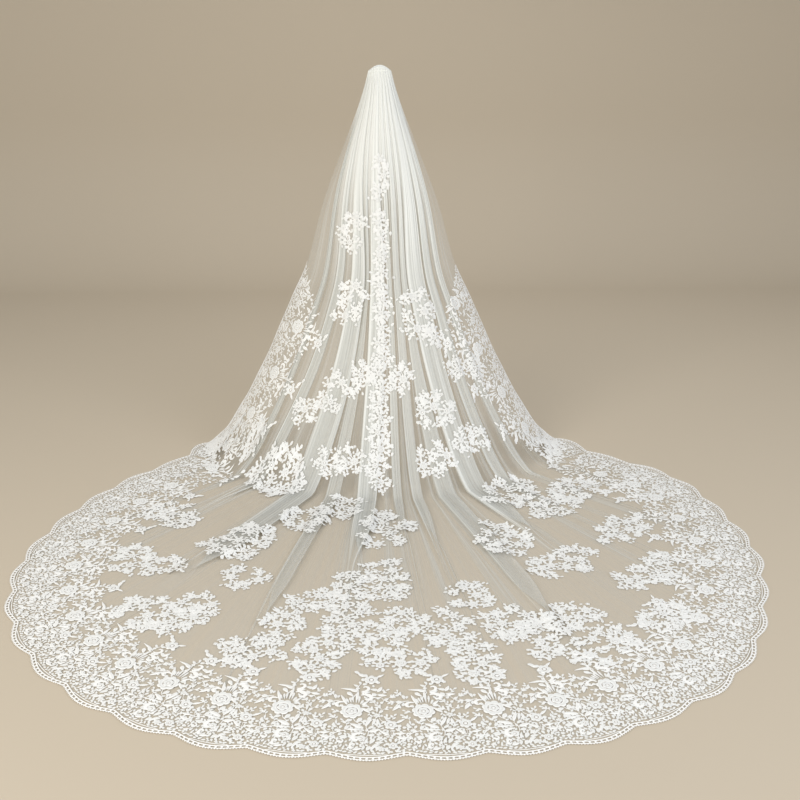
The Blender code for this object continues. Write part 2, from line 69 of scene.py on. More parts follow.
# One column of values for each pleat, left to right: azimuths at four levels, band widths, lift, and the run
# at which the overlap has opened out flat.
pleats = {
    "top": (-68.0, -54.0, -40.0, -27.0, -12.0, 3.0, 15.0, 27.0, 40.5, 54.5, 68.0),
    "middle": (-45.0, -31.5, -17.0, -10.2, -3.0, 5.2, 10.6, 15.8, 24.8, 36.6, 47.0),
    "floor": (-51.0, -42.5, -25.5, -15.5, -5.2, 3.8, 9.6, 18.5, 28.4, 39.8, 51.5),
    "hem": (-50.0, -42.0, -31.5, -13.7, -4.5, 4.0, 9.0, 18.0, 28.5, 40.0, 50.5),
    "middleWidth": (0.022, 0.030, 0.054, 0.014, 0.050, 0.018, 0.024, 0.020, 0.060, 0.030, 0.022),
    "floorWidth": (0.032, 0.045, 0.098, 0.050, 0.068, 0.030, 0.036, 0.062, 0.080, 0.045, 0.032),
    "lift": (0.014, 0.015, 0.019, 0.016, 0.019, 0.013, 0.014, 0.016, 0.019, 0.015, 0.014),
    "opensAt": (1.18, 1.25, 1.62, 1.72, 1.42, 1.30, 1.36, 1.75, 1.38, 1.25, 1.18),
    "fullness": (0.55, 0.75, 1.00, 0.45, 1.05, 0.70, 0.40, 0.55, 1.00, 0.70, 0.55),   # how full it looks
}
pleatSection = {
    "place": (-0.62, -0.41, -0.21, 0.00, 0.21, 0.41, 0.62),
    "overlap": (0.00, -0.11, 0.69, 0.48, -0.61, -0.81, 0.00),
    "lift": (0.00, 0.62, 1.00, 0.70, 0.38, 0.06, 0.00),
}
layers = len(pleatSection["place"])
gather = {
    "width": 0.0061,
    "lift": 0.0078,
    "ridgeLift": 0.011,
    "rippleLift": 0.0004,
    "flatten": 0.26,       # part of the folds' lift that is left near the top, where the gathers are pressed
    "headRise": (0.004, 0.030),            # how far they arch over the comb, at its ends and its middle
    "headFront": (0.92, 0.0115, -0.006),   # where they are sewn: part of the width, in front, and down
    "headRows": 13,
}
creases = {
    "seed": 11,
    "count": 120,
    "heights": (0.0012, 0.0036),
    "widths": (0.14, 0.30),    # parts of a fold column
}
sideSteps = (0.22, 0.42, 0.62, 0.81, 1.0)   # plain columns from the last pleat to the side edge


def curveThrough(x, xs, ys):
    # Monotone cubic curve: a Hermite cubic on each step, with harmonic-mean slopes at the knots.
    x, xs, ys = np.asarray(x, float), np.asarray(xs, float), np.asarray(ys, float)
    steps = np.diff(xs)
    slopes = np.diff(ys) / steps
    product, total = slopes[:-1] * slopes[1:], slopes[:-1] + slopes[1:]
    inner = np.where(product > 0, 2 * product / np.where(product > 0, total, 1), 0)
    tangents = np.concatenate([[slopes[0]], inner, [slopes[-1]]])
    place = np.clip(np.searchsorted(xs, x, side="right") - 1, 0, len(xs) - 2)
    t = np.clip((x - xs[place]) / steps[place], 0, 1)
    return (
        (2 * t**3 - 3 * t**2 + 1) * ys[place]
        + (t**3 - 2 * t**2 + t) * steps[place] * tangents[place]
        + (3 * t**2 - 2 * t**3) * ys[place + 1]
        + (t**3 - t**2) * steps[place] * tangents[place + 1]
    )


def fade(x, start, end):
    # 1 before start, 0 after end, a smoothstep between them.
    t = np.clip((np.asarray(x, float) - start) / (end - start), 0, 1)
    return 1 - t * t * (3 - 2 * t)


def clothPoint(azimuth, run, inset=0.0):
    # The unfolded cloth: half an elliptical cone down to the floor, then a straight line out to the hem.
    azimuth, run = np.broadcast_arrays(np.asarray(azimuth, float), np.asarray(run, float))
    angle = np.radians(azimuth)
    onFall = np.minimum(run, 1.0)
    halfWidth, depth, height = (
        curveThrough(onFall, fallShape["run"], fallShape[name]) for name in ("halfWidth", "depth", "height")
    )
    x, y = halfWidth * np.sin(angle), -depth * np.cos(angle)
    reach = curveThrough(azimuth, hemShape["azimuth"], hemShape["reach"]) - inset
    train = np.clip(run - 1, 0, None)
    x = x + train * (reach * np.sin(angle) - x)
    y = y + train * (-reach * np.cos(angle) - y)
    return np.stack([x, y, height + veil["wall"] / 2 - veil["combHeight"]], -1)


def unit(vectors):
    return vectors / np.maximum(np.linalg.norm(vectors, axis=-1, keepdims=True), 1e-12)


def clothNormal(azimuth, run):
    # Outward on the fall, upward on the train: the cross product of two small steps.
    across = clothPoint(azimuth + 0.01, run) - clothPoint(azimuth - 0.01, run)
    along = clothPoint(azimuth, run + 0.001) - clothPoint(azimuth, np.maximum(run - 0.001, 0))
    return unit(np.cross(along, across))


def metresPerDegree(azimuth, run):
    return np.linalg.norm(clothPoint(azimuth + 0.5, run) - clothPoint(azimuth - 0.5, run), axis=-1)


def metresPerRun(azimuth, run):
    return np.linalg.norm(clothPoint(azimuth, run + 0.01) - clothPoint(azimuth, run - 0.01), axis=-1) / 0.02


def lengthAlong(points):
    # Length of a line of points up to each of them.
    return np.concatenate([[0], np.cumsum(np.linalg.norm(np.diff(points, axis=0), axis=1))])


def byLevel(run, top, middle, floor, hem):
    return curveThrough(run, (0.0, 0.5, 1.0, 2.0), (top, middle, floor, hem))


def sideEdge(run):
    onFall = veil["edgeAzimuth"]
    return byLevel(run, veil["topEdgeAzimuth"], onFall, onFall, veil["hemEdgeAzimuth"])


def foldColumns(run):
    # Azimuth and lift of every fold column at these runs. A pleat is a Z of three layers: its front layer runs
    # right, the middle one back left, the last right again; a ridge stands between neighbouring pleats.
    columns = []
    for number in range(len(pleats["top"])):
        pleat = {name: values[number] for name, values in pleats.items()}
        flat, lift = pleat["opensAt"], pleat["lift"]
        centre = byLevel(run, pleat["top"], pleat["middle"], pleat["floor"], pleat["hem"])
        width = byLevel(run, gather["width"], pleat["middleWidth"], pleat["floorWidth"], pleat["floorWidth"])
        opened = fade(run, flat - 0.30, flat - 0.05) * (1 - 0.9 * fade(run, 0.0, 0.06))
        stand = byLevel(run, gather["lift"], lift, lift * 0.85, lift * 0.85)
        stand = stand * fade(run, flat - 0.22, flat + 0.08)
        perDegree = metresPerDegree(centre, run)
        for place, overlap, part in zip(*(pleatSection[name] for name in ("place", "overlap", "lift"))):
            columns.append((centre + width * (place + overlap * opened) / perDegree, stand * part))
    ridge = byLevel(run, gather["lift"] * 0.6, gather["ridgeLift"], gather["ridgeLift"] * 0.6, 0.0)
    ridge = ridge * fade(run, 0.9, 1.35)
    folded = []
    for first in range(0, len(columns), layers):
        if first:
            folded.append(((columns[first - 1][0] + columns[first][0]) / 2, ridge))
        folded += columns[first : first + layers]
    for side, foot in ((-1, folded[0][0]), (1, folded[-1][0])):
        plain = []
        for part in sideSteps:
            ripple = abs(0.005 * math.sin(3 * math.pi * part) * math.sin(math.pi * part))
            plain.append((foot + (side * sideEdge(run) - foot) * part, ripple * fade(run, 0.85, 1.05)))
        folded = plain[::-1] + folded if side < 0 else folded + plain
    return np.array([column[0] for column in folded]), np.array([column[1] for column in folded])


def acrossColumns(values, place):
    # Catmull-Rom curve across the fold columns, which rounds each fold's edge.
    i = np.clip(place.astype(int), 0, len(values) - 2)
    t = (place - i)[:, None]
    a, d = values[np.maximum(i - 1, 0)], values[np.minimum(i + 2, len(values) - 1)]
    b, c = values[i], values[i + 1]
    return b + 0.5 * t * ((c - a) + t * (2 * a - 5 * b + 4 * c - d + t * (3 * (b - c) + d - a)))


def gridFaces(rows, cols):
    # Quads of a grid whose first index is rows. They face outwards when rows run in +azimuth and cols in +run.
    i, j = np.meshgrid(np.arange(rows - 1), np.arange(cols - 1), indexing="ij")
    a = (i * cols + j).ravel()
    return np.stack([a, a + 1, a + cols + 1, a + cols], -1)


def turnedFaces(rows, cols):
    return gridFaces(rows, cols)[:, [0, 3, 2, 1]]


def repeatedFaces(faces, count, step):
    # The faces of one motif for each of count motifs of step points.
    shift = np.arange(count)[:, None, None] * step
    return np.where(faces[None] >= 0, faces[None] + shift, -1).reshape(-1, 4)


def stacked(parts):
    # Points and faces of several parts as one; a face row holds -1 in its last place if it is a triangle.
    points = [part[0].reshape(-1, 3) for part in parts]
    offsets = np.cumsum([0] + [len(block) for block in points[:-1]])
    faces = [np.where(part[1] >= 0, part[1] + offset, -1) for part, offset in zip(parts, offsets)]
    return np.concatenate(points), np.concatenate(faces)


def makePiece(name, parts, material, uv=None):
    # parts are (points, faces, {attribute: values}).
    points, faces = stacked(parts)
    mesh = bpy.data.meshes.new(name)
    mesh.vertices.add(len(points))
    mesh.vertices.foreach_set("co", points.astype(np.float32).ravel())
    used = faces >= 0
    counts = used.sum(1)
    mesh.loops.add(int(counts.sum()))
    mesh.loops.foreach_set("vertex_index", faces[used].astype(np.int32))
    mesh.polygons.add(len(faces))
    mesh.polygons.foreach_set("loop_start", (np.cumsum(counts) - counts).astype(np.int32))
    mesh.polygons.foreach_set("use_smooth", np.ones(len(faces), bool))
    for key in parts[0][2]:
        values = np.concatenate([np.asarray(part[2][key], float).ravel() for part in parts])
        mesh.attributes.new(key, "FLOAT", "POINT").data.foreach_set("value", values.astype(np.float32))
    if uv is not None:
        layer = mesh.uv_layers.new(name="cloth")
        layer.data.foreach_set("uv", uv.reshape(-1, 2)[faces[used]].astype(np.float32).ravel())
    mesh.update(calc_edges=True)
    mesh.validate()
    mesh.materials.append(material)
    piece = bpy.data.objects.new(name, mesh)
    bpy.context.scene.collection.objects.link(piece)
    return piece


def linear(hexColour):
    # sRGB hex to linear red, green and blue.
    values = np.array([int(hexColour[i : i + 2], 16) for i in (1, 3, 5)]) / 255
    return tuple(np.where(values <= 0.04045, values / 12.92, ((values + 0.055) / 1.055) ** 2.4)) + (1.0,)


def addNode(tree, kind, settings=None, inputs=None, links=None):
    # One node with its settings, input values and incoming links {input: (node, output)}.
    node = tree.nodes.new(kind)
    for key, value in (settings or {}).items():
        setattr(node, key, value)
    for key, value in (inputs or {}).items():
        node.inputs[key].default_value = value
    for key, (source, output) in (links or {}).items():
        tree.links.new(source.outputs[output], node.inputs[key])
    return node


def newMaterial(name, inputs):
    material = bpy.data.materials.new(name)
    material.use_nodes = True
    tree = material.node_tree
    shader = tree.nodes["Principled BSDF"]
    for key, value in inputs.items():
        shader.inputs[key].default_value = value
    return material, tree, shader


# Soft nylon tulle, a warp-knitted hexagonal net of 40-denier yarn: matt, cool white, see-through where single,
# chalky where gathered. Its meshes are 1.3 mm; the net is drawn coarser, at 4 mm, the finest that shows.
tulle = {
    "colour": "#dfe1dc",           # single, and half lost in its own shade where it folds
    "gatheredPaintedLight": "#eef0eb",   # painted light: paler where the net is gathered, for the light that its many layers scatter
    "roughness": 0.62,
    "netPitch": 0.004,
    "streakWidth": 0.0045,         # lengthwise streaks, where the fine net bunches or thins
    "streakLength": 0.9,
    # opacity of the cloth by run, where it is single and where it is folded into bands
    "single": (
        (0, 0.08, 0.15, 0.22, 0.30, 0.40, 0.50, 0.60, 1.0, 2.0),
        (0.96, 0.94, 0.88, 0.74, 0.54, 0.33, 0.22, 0.17, 0.16, 0.17),
    ),
    "folded": (
        (0, 0.10, 0.20, 0.30, 0.45, 0.60, 0.80, 1.0, 1.4, 2.0),
        (0.97, 0.96, 0.90, 0.76, 0.56, 0.45, 0.38, 0.32, 0.24, 0.17),
    ),
    "flap": 0.22,                  # at most this much on the plain cloth beside the outer pleats
    "foldLine": 0.34,              # added along the turns of a pleat, on a crease and at the cut edge
    "crease": 0.26,
    "cutEdge": 0.40,
    "most": 0.97,
}


def makeTulleMaterial():
    material, tree, shader = newMaterial(
        "softTulle", {"Roughness": tulle["roughness"], "Sheen Weight": 0.25, "Sheen Roughness": 0.4}
    )
    uv = addNode(tree, "ShaderNodeUVMap", {"uv_map": "cloth"})
    fullness = addNode(tree, "ShaderNodeAttribute", {"attribute_name": "fullness"})
    stretch = (1 / tulle["streakWidth"], 1 / tulle["streakLength"], 1)
    stretched = addNode(tree, "ShaderNodeMapping", {}, {"Scale": stretch}, {"Vector": (uv, "UV")})
    streaks = addNode(
        tree,
        "ShaderNodeTexNoise",
        {"noise_dimensions": "2D"},
        {"Scale": 1.0, "Detail": 2.0},
        {"Vector": (stretched, "Vector")},
    )
    streakRange = addNode(
        tree,
        "ShaderNodeMapRange",
        {},
        {"From Min": 0.3, "From Max": 0.7, "To Min": 0.72, "To Max": 1.30},
        {"Value": (streaks, "Fac")},
    )
    net = addNode(
        tree,
        "ShaderNodeTexVoronoi",
        {"voronoi_dimensions": "2D", "feature": "DISTANCE_TO_EDGE"},
        {"Scale": 1 / tulle["netPitch"], "Randomness": 0.25},
        {"Vector": (uv, "UV")},
    )
    netRange = addNode(
        tree,
        "ShaderNodeMapRange",
        {},
        {"From Min": 0.02, "From Max": 0.30, "To Min": 1.25, "To Max": 0.86},
        {"Value": (net, "Distance")},
    )
    both = addNode(
        tree,
        "ShaderNodeMath",
        {"operation": "MULTIPLY"},
        {},
        {0: (streakRange, "Result"), 1: (netRange, "Result")},
    )
    alpha = addNode(
        tree,
        "ShaderNodeMath",
        {"operation": "MULTIPLY", "use_clamp": True},
        {},
        {0: (fullness, "Fac"), 1: (both, "Value")},
    )
    tree.links.new(alpha.outputs["Value"], shader.inputs["Alpha"])
    # painted light: as fullness rises the colour goes from the single tone to the paler gathered one
    gathered = addNode(
        tree, "ShaderNodeMapRange", {}, {"From Min": 0.50, "From Max": 0.94}, {"Value": (fullness, "Fac")}
    )
    tones = {6: linear(tulle["colour"]), 7: linear(tulle["gatheredPaintedLight"])}
    colour = addNode(tree, "ShaderNodeMix", {"data_type": "RGBA"}, tones, {0: (gathered, "Result")})
    tree.links.new(colour.outputs[2], shader.inputs["Base Color"])
    return material


# Corded lace: flowers worked in white cotton and viscose thread on net, each edged with a raised cord. The
# thread is matt with a soft bloom; the filling between the cords is a closer net and reads a little greyer.
# The same greyer tone is also painted shade, in the sunk middles of the leaves and at the low rims of the
# motifs.
lace = {"colour": "#fbfbf8", "fillAndShadeColour": "#d6d9d6", "roughness": 0.78, "threadPitch": 0.0016}


def makeLaceMaterial():
    material, tree, shader = newMaterial(
        "cordedLace", {"Roughness": lace["roughness"], "Sheen Weight": 0.30, "Sheen Roughness": 0.5}
    )
    place = addNode(tree, "ShaderNodeTexCoord")
    shade = addNode(tree, "ShaderNodeAttribute", {"attribute_name": "cord"})
    tones = {6: linear(lace["fillAndShadeColour"]), 7: linear(lace["colour"])}
    colour = addNode(tree, "ShaderNodeMix", {"data_type": "RGBA"}, tones, {0: (shade, "Fac")})
    tree.links.new(colour.outputs[2], shader.inputs["Base Color"])
    grain = {"Scale": 1 / lace["threadPitch"], "Detail": 2.0, "Roughness": 0.6}
    thread = addNode(tree, "ShaderNodeTexNoise", {}, grain, {"Vector": (place, "Object")})
    relief = {"Strength": 0.5, "Distance": 0.0005}
    bump = addNode(tree, "ShaderNodeBump", {}, relief, {"Height": (thread, "Fac")})
    tree.links.new(bump.outputs["Normal"], shader.inputs["Normal"])
    return material


tulleMaterial = makeTulleMaterial()
laceMaterial = makeLaceMaterial()

# The border's outline, from the top of the left side edge, round the hem, to the top of the right one. phase
# counts the scallops: whole numbers at the notches, 0 at the hem's left end.
border = {
    "seed": 23,
    "fillSeed": 3,
    "pitch": 0.217,
    "chartPitch": 0.234,   # the repeat is charted at this width and drawn in to the pitch
    "depth": 0.022,
    "softness": 1.2,       # 1 is a sharp notch between the scallops
    "sideRuns": (0.455, 0.575, 0.70, 0.82, 0.92, 1.0),   # one scallop between each two on the side edges
}
sideCount = len(border["sideRuns"]) - 1


def sideScallops(run):
    # Scallops from the landing up the side edge to a run.
    return np.interp(run, border["sideRuns"], np.arange(sideCount, -1, -1))


def layOutBorder():
    # Plan arcs of the hem, and from each end the short side edge on the floor, then the fall's side edge.
    azimuth = np.linspace(-veil["hemEdgeAzimuth"], veil["hemEdgeAzimuth"], 1601)
    hem = clothPoint(azimuth, 2.0)
    length = lengthAlong(hem)
    scallops = round(length[-1] / border["pitch"])
    corner = np.linspace(0, 1, 41)[1:]
    sideRun = np.linspace(1.0, border["sideRuns"][0], 241)[1:]
    outset = veil["tulleInset"] / metresPerDegree(veil["edgeAzimuth"], sideRun)
    run = np.concatenate([2 - corner, sideRun])
    phase = scallops + np.concatenate([corner, 1 + sideScallops(sideRun)])
    edges = []
    for side in (-1, 1):
        onFloorEdge = clothPoint(side * sideEdge(2 - corner), 2 - corner)
        onFallEdge = clothPoint(side * (veil["edgeAzimuth"] + outset), sideRun)
        landing = clothPoint(side * (veil["edgeAzimuth"] + outset[0]), 1.0)
        onFloorEdge = onFloorEdge + corner[:, None] ** 2 * (landing - onFloorEdge[-1])
        edges.append(np.concatenate([onFloorEdge, onFallEdge]))
    points = np.concatenate([edges[0][::-1], hem, edges[1]])
    phase = np.concatenate([(scallops - phase)[::-1], length / length[-1] * scallops, phase])
    run = np.concatenate([run[::-1], np.full(len(hem), 2.0), run])
    return points, phase, run, scallops


outline, outlinePhase, outlineRun, scallopCount = layOutBorder()
print("border laid out:", scallopCount, "scallops round the hem")


def lobe(phase, amount=1.0):
    # How far the scalloped edge stands out from the mean outline.
    return border["depth"] * amount * (np.abs(np.sin(np.pi * phase)) ** border["softness"] - 0.5)


outlineAzimuth = np.degrees(np.arctan2(outline[:, 0], -outline[:, 1]))
outlineTangent = unit(np.gradient(outline, axis=0))
outlineNormal = clothNormal(
    np.where(outlineRun > 1, outlineAzimuth, np.sign(outline[:, 0]) * veil["edgeAzimuth"]), outlineRun
)
outlineNormal = np.where(outlineRun[:, None] >= 1, np.array([0.0, 0.0, 1.0]), outlineNormal)
outlineInward = unit(np.cross(outlineNormal, outlineTangent))


def onOutline(phase):
    # Point, tangent, inward direction, normal and run of the border's outline at a phase.
    point, tangent, inward, normal = (
        np.stack([np.interp(phase, outlinePhase, values[:, k]) for k in range(3)], -1)
        for values in (outline, outlineTangent, outlineInward, outlineNormal)
    )
    return point, unit(tangent), unit(inward), unit(normal), np.interp(phase, outlinePhase, outlineRun)


def raiseCreases(place, run):
    # Fine creases that begin and end at random down the cloth: their height, and how much each one shows.
    draw, count = np.random.default_rng(creases["seed"]), creases["count"]
    raised = np.zeros((len(place), len(run)))
    streak = np.zeros_like(raised)
    for spot in np.linspace(3.5, place[-1] - 3.5, count) + draw.uniform(-0.3, 0.3, count):
        width = draw.uniform(*creases["widths"])
        height = draw.uniform(*creases["heights"])
        start, end = draw.uniform(0.02, 0.30), draw.uniform(0.7, 1.9)
        wander = draw.uniform(-0.5, 0.5)
        shape = np.exp(-(((place[:, None] - spot - wander * np.sin(run * 2.1 + spot)) / width) ** 2))
        shape = shape * (1 - fade(run, start, start + 0.2)) * fade(run, end - 0.35, end)
        raised += shape * height
        streak = np.maximum(streak, shape * draw.uniform(0.3, 1.0))
    return raised, streak


def tulleFullness(place, run, streak):
    # How much net lies at each place, which is how opaque it looks.
    toEdge = np.minimum(place, place[-1] - place)
    inPleat, turn = np.zeros(len(place)), np.zeros(len(place))
    for number, full in enumerate(pleats["fullness"]):
        first = len(sideSteps) + (layers + 1) * number
        inPleat = np.maximum(inPleat, full * fade(np.abs(place - (first + 3)), 2.3, 3.3))
        for column in (1.0, 2.4, 4.6):
            turn = np.maximum(turn, np.exp(-(((place - first - column) / 0.22) ** 2)))
    single, folded = np.interp(run, *tulle["single"]), np.interp(run, *tulle["folded"])
    fullness = single + (folded - single) * inPleat[:, None]
    flap = fade(toEdge, 4.5, 9.5)[:, None] * (1 - fade(run, 0.08, 0.17)) * fade(run, 0.3, 0.55)
    fullness = fullness * (1 - flap) + np.minimum(fullness, tulle["flap"]) * flap
    fullness = fullness + tulle["foldLine"] * turn[:, None] * fade(run, 1.0, 1.75) * (1 - fade(run, 0.1, 0.35))
    fullness = fullness + tulle["crease"] * streak
    edge = np.exp(-((toEdge / 0.12) ** 2))[:, None] * fade(run, 0.43, 0.49)
    return np.clip(fullness + tulle["cutEdge"] * edge, 0, tulle["most"])


def headOver(top, azimuth):
    # From the top row the gathers arch over the comb's bar, on half an ellipse, to its front.
    angle = np.linspace(0, 1, gather["headRows"]) * np.pi
    width, front, down = gather["headFront"]
    sewn = np.stack([top[:, 0] * width, np.full(len(top), front), top[:, 2] + down], -1)
    across = ((1 - np.cos(angle)) / 2)[None, :, None]
    head = top[:, None, :] * (1 - across) + sewn[:, None, :] * across
    rise = np.interp(np.abs(np.sin(np.radians(azimuth))) ** 2, (0, 1), gather["headRise"][::-1])
    head[..., 2] += rise[:, None] * np.sin(angle)[None]
    return head[:, ::-1]


def makeTulle():
    # The folded cloth as one open surface: fine columns across, rows down. Creases are raised on it, and its
    # last columns and rows are carried out to the scalloped edge of the border.
    fine = veil["fineColumns"]
    fallRun = np.linspace(0, 1, veil["fallRows"])[:-1] ** 1.1
    trainRun = np.concatenate([np.linspace(1, 1.9, veil["trainRows"] - 8)[:-1], np.linspace(1.9, 2.0, 9)])
    run = np.concatenate([fallRun, trainRun])
    azimuths, lifts = foldColumns(run)
    steps = len(azimuths) - 1
    place = np.linspace(0, steps, steps * fine + 1)
    azimuth, lift = acrossColumns(azimuths, place), acrossColumns(lifts, place)
    azimuth = np.clip(azimuth, azimuths[0], azimuths[-1])
    raised, streak = raiseCreases(place, run)
    ripple = gather["rippleLift"] * np.sin(np.pi * place)[:, None] * fade(run, 0.08, 0.3)
    pressed = 1 - (1 - gather["flatten"]) * fade(run, 0.16, 0.52)
    lift = lift * pressed + raised * fade(run, 1.3, 1.95) + ripple
    normal = clothNormal(azimuth, np.broadcast_to(run, azimuth.shape))
    points = clothPoint(azimuth, run, veil["tulleInset"]) + normal * lift[..., None]

    atHem = outlineRun >= 2
    hemPhase = np.interp(azimuth[:, -1], outlineAzimuth[atHem], outlinePhase[atHem])
    hemInward = onOutline(hemPhase)[2]
    carry = (1 - fade(run, 1.9, 2.0))[None, :, None]
    points = points - hemInward[:, None, :] * ((veil["tulleInset"] + lobe(hemPhase))[:, None, None] * carry)
    right = np.where(run > 1, scallopCount + 2 - run, scallopCount + 1 + sideScallops(run))
    for phase, columns, near in (
        (scallopCount - right, slice(0, fine + 1), np.linspace(1, 0, fine + 1)),
        (right, slice(-fine - 1, None), np.linspace(0, 1, fine + 1)),
    ):
        amount = (veil["tulleInset"] + lobe(phase)) * (1 - fade(run, 0.43, 0.49)) * fade(run, 1.85, 2.0)
        points[columns] -= onOutline(phase)[2][None] * (amount[None, :, None] * near[:, None, None])

    fullness = tulleFullness(place, run, streak)
    head = headOver(points[::2, 0], azimuth[::2, 0])
    headFullness = np.repeat(fullness[::2, :1], gather["headRows"], axis=1)
    down = lengthAlong(points[len(place) // 2])
    uv = np.stack(np.broadcast_arrays(place[:, None] / steps * veil["cutWidth"], down[None, :]), -1)
    overHead = np.linspace(0, 1, gather["headRows"])
    headUv = uv[::2, :1] - np.stack([0 * overHead, 0.03 * overHead], -1)[None, ::-1]
    parts = [
        (points, gridFaces(*azimuth.shape), {"fullness": fullness}),
        (head, gridFaces(*head.shape[:2]), {"fullness": headFullness}),
    ]
    bothUv = np.concatenate([uv.reshape(-1, 2), headUv.reshape(-1, 2)])
    return makePiece("veilTulle", parts, tulleMaterial, bothUv), run, azimuth, lift, points


tullePiece, tulleRun, tulleAzimuth, tulleLift, tullePoints = makeTulle()
print("tulle:", len(tullePiece.data.polygons), "faces")


def shiftedMax(values, reach, axis):
    # Running maximum over reach cells to each side.
    return np.max([np.roll(values, k, axis) for k in range(-reach, reach + 1)], axis=0)


def blurred(values, reach, axis):
    # Running mean over reach cells to each side, done twice for a soft triangle.
    for _ in range(2):
        values = np.mean([np.roll(values, k, axis) for k in range(-reach, reach + 1)], axis=0)
    return values


# What the lace lies on. On the fall: the highest lift of any layer, by azimuth and run. On the floor: the
# highest point of the cloth over each square.
seat = {
    "azimuthReach": 96,
    "azimuthStep": 0.125,
    "floorLow": (-1.40, -2.40),
    "floorCells": (561, 521),
    "floorStep": 0.005,
    "floorBelow": -1.45,     # cloth higher than this belongs to the fall
    "floorFrom": 0.95,       # run from which the border is laid out on the floor
    "clearance": 0.0012,
}


def fallSeat():
    reach, step = seat["azimuthReach"], seat["azimuthStep"]
    runs = tulleRun[tulleRun <= 1.0]
    table = np.zeros((round(2 * reach / step) + 1, len(runs)))
    index = np.arange(len(tulleAzimuth))
    fine = np.linspace(0, len(tulleAzimuth) - 1, len(tulleAzimuth) * 6)
    for column in range(len(runs)):
        where = np.interp(fine, index, tulleAzimuth[:, column])
        cell = np.round((where + reach) / step).astype(int)
        np.maximum.at(table[:, column], cell, np.interp(fine, index, tulleLift[:, column]))
    return runs, blurred(shiftedMax(table, 5, 0), 4, 0)


def floorSeat():
    size = seat["floorCells"]
    table = np.full(size, -veil["combHeight"] + veil["wall"] / 2)
    for part in range(4):
        for other in range(4):
            a, b = part / 4, other / 4
            near = tullePoints[:-1, :-1] * (1 - a) * (1 - b) + tullePoints[1:, :-1] * a * (1 - b)
            spots = (near + tullePoints[:-1, 1:] * (1 - a) * b + tullePoints[1:, 1:] * a * b).reshape(-1, 3)
            cell = np.round((spots[:, :2] - seat["floorLow"]) / seat["floorStep"]).astype(int)
            inside = (cell >= 0).all(1) & (cell < size).all(1) & (spots[:, 2] < seat["floorBelow"])
            np.maximum.at(table, (cell[inside, 0], cell[inside, 1]), spots[inside, 2])
    for smooth in (shiftedMax, blurred):
        for axis in (0, 1):
            table = smooth(table, 1, axis)
    return table


fallRuns, fallLift = fallSeat()
floorTop = floorSeat()


def readTable(table, a, b):
    # Bilinear reading of a table at fractional indices.
    a, b = np.clip(a, 0, table.shape[0] - 1.001), np.clip(b, 0, table.shape[1] - 1.001)
    i, j = a.astype(int), b.astype(int)
    s, t = a - i, b - j
    low = table[i, j] * (1 - s) + table[i + 1, j] * s
    high = table[i, j + 1] * (1 - s) + table[i + 1, j + 1] * s
    return low * (1 - t) + high * t


def onFall(azimuth, run, height):
    across = (azimuth + seat["azimuthReach"]) / seat["azimuthStep"]
    lift = readTable(fallLift, across, np.interp(run, fallRuns, np.arange(len(fallRuns))))
    height = lift + seat["clearance"] + height
    return clothPoint(azimuth, run) + clothNormal(azimuth, run) * height[..., None]


def onFloor(x, y, height):
    low, step = seat["floorLow"], seat["floorStep"]
    top = readTable(floorTop, (x - low[0]) / step, (y - low[1]) / step)
    return np.stack([x, y, top + seat["clearance"] + height], -1)


# Motifs of the lace, each about 1 long or 1 in radius before it is sized, with heights in metres. "cord" is 1
# on a raised cord and less on the filling between the cords and at the low rims, where it is painted shade.
def ringPart(lobes, inner, outer, notch, steps, heights, twist=0.0):
    # An annulus with round lobes: outer radius = outer * (1 - notch * (1 - |sin(lobes * angle / 2)| ^ 0.75)).
    count = lobes * steps
    angle = np.arange(count) / count * 2 * np.pi
    swell = 1 - notch * (1 - np.abs(np.sin(lobes * angle / 2)) ** 0.75)
    radii = [inner + 0 * swell, inner + (outer - inner) * 0.5 * swell, outer * swell * 0.93, outer * swell]
    points = np.array([
        np.stack([radius * np.cos(angle + twist), radius * np.sin(angle + twist), np.full(count, height)], -1)
        for radius, height in zip(radii, heights)
    ])
    i, j = np.meshgrid(np.arange(len(radii) - 1), np.arange(count), indexing="ij")
    a, b = i * count + j, i * count + (j + 1) % count
    faces = np.stack([a, a + count, b + count, b], -1).reshape(-1, 4)
    # greyer on the filling between the ring's edges, and a little greyer at the low outer rim as painted shade
    return points.reshape(-1, 3), faces, np.repeat((1.0, 0.35, 1.0, 0.85), count)


def discPart(radius, height, count):
    j = np.arange(count)
    angle = j / count * 2 * np.pi
    rim = np.stack([radius * np.cos(angle), radius * np.sin(angle), 0.3 * height * np.ones(count)], -1)
    faces = np.stack([0 * j, 1 + j, 1 + (j + 1) % count, 0 * j - 1], -1)
    return np.concatenate([[[0, 0, height]], rim]), faces, np.ones(count + 1)


def joined(*parts):
    return *stacked(parts), np.concatenate([part[2] for part in parts])


def leafPart(along, half, tip=0.0, across=(-1.0, -0.6, 0.0, 0.6, 1.0)):
    # A leaf from (0, 0) to (1, 0) and 1 across, with its half-widths at the places along it. A cord runs round
    # it and its middle is a little sunk; tip bends it sideways.
    along, half, across = np.array(along), np.array(half), np.array(across)
    heights = np.interp(np.abs(across), (0, 0.6, 1.0), (0.0009, 0.0013, 0.0001))
    x = np.broadcast_to(along[None, :], (len(across), len(along)))
    y = across[:, None] * half[None, :] + tip * (along**2)[None, :]
    z = heights[:, None] * np.sin(np.pi * np.clip(along, 0.1, 0.9))[None, :] ** 0.5
    # greyer in the sunk middle, which is filling and painted shade, and a little greyer at the low rim as
    # painted shade
    cord = np.interp(np.abs(across), (0, 0.6, 1.0), (0.55, 1.0, 0.9))
    return np.stack([x, y, z], -1).reshape(-1, 3), gridFaces(*x.shape), np.repeat(cord, len(along))


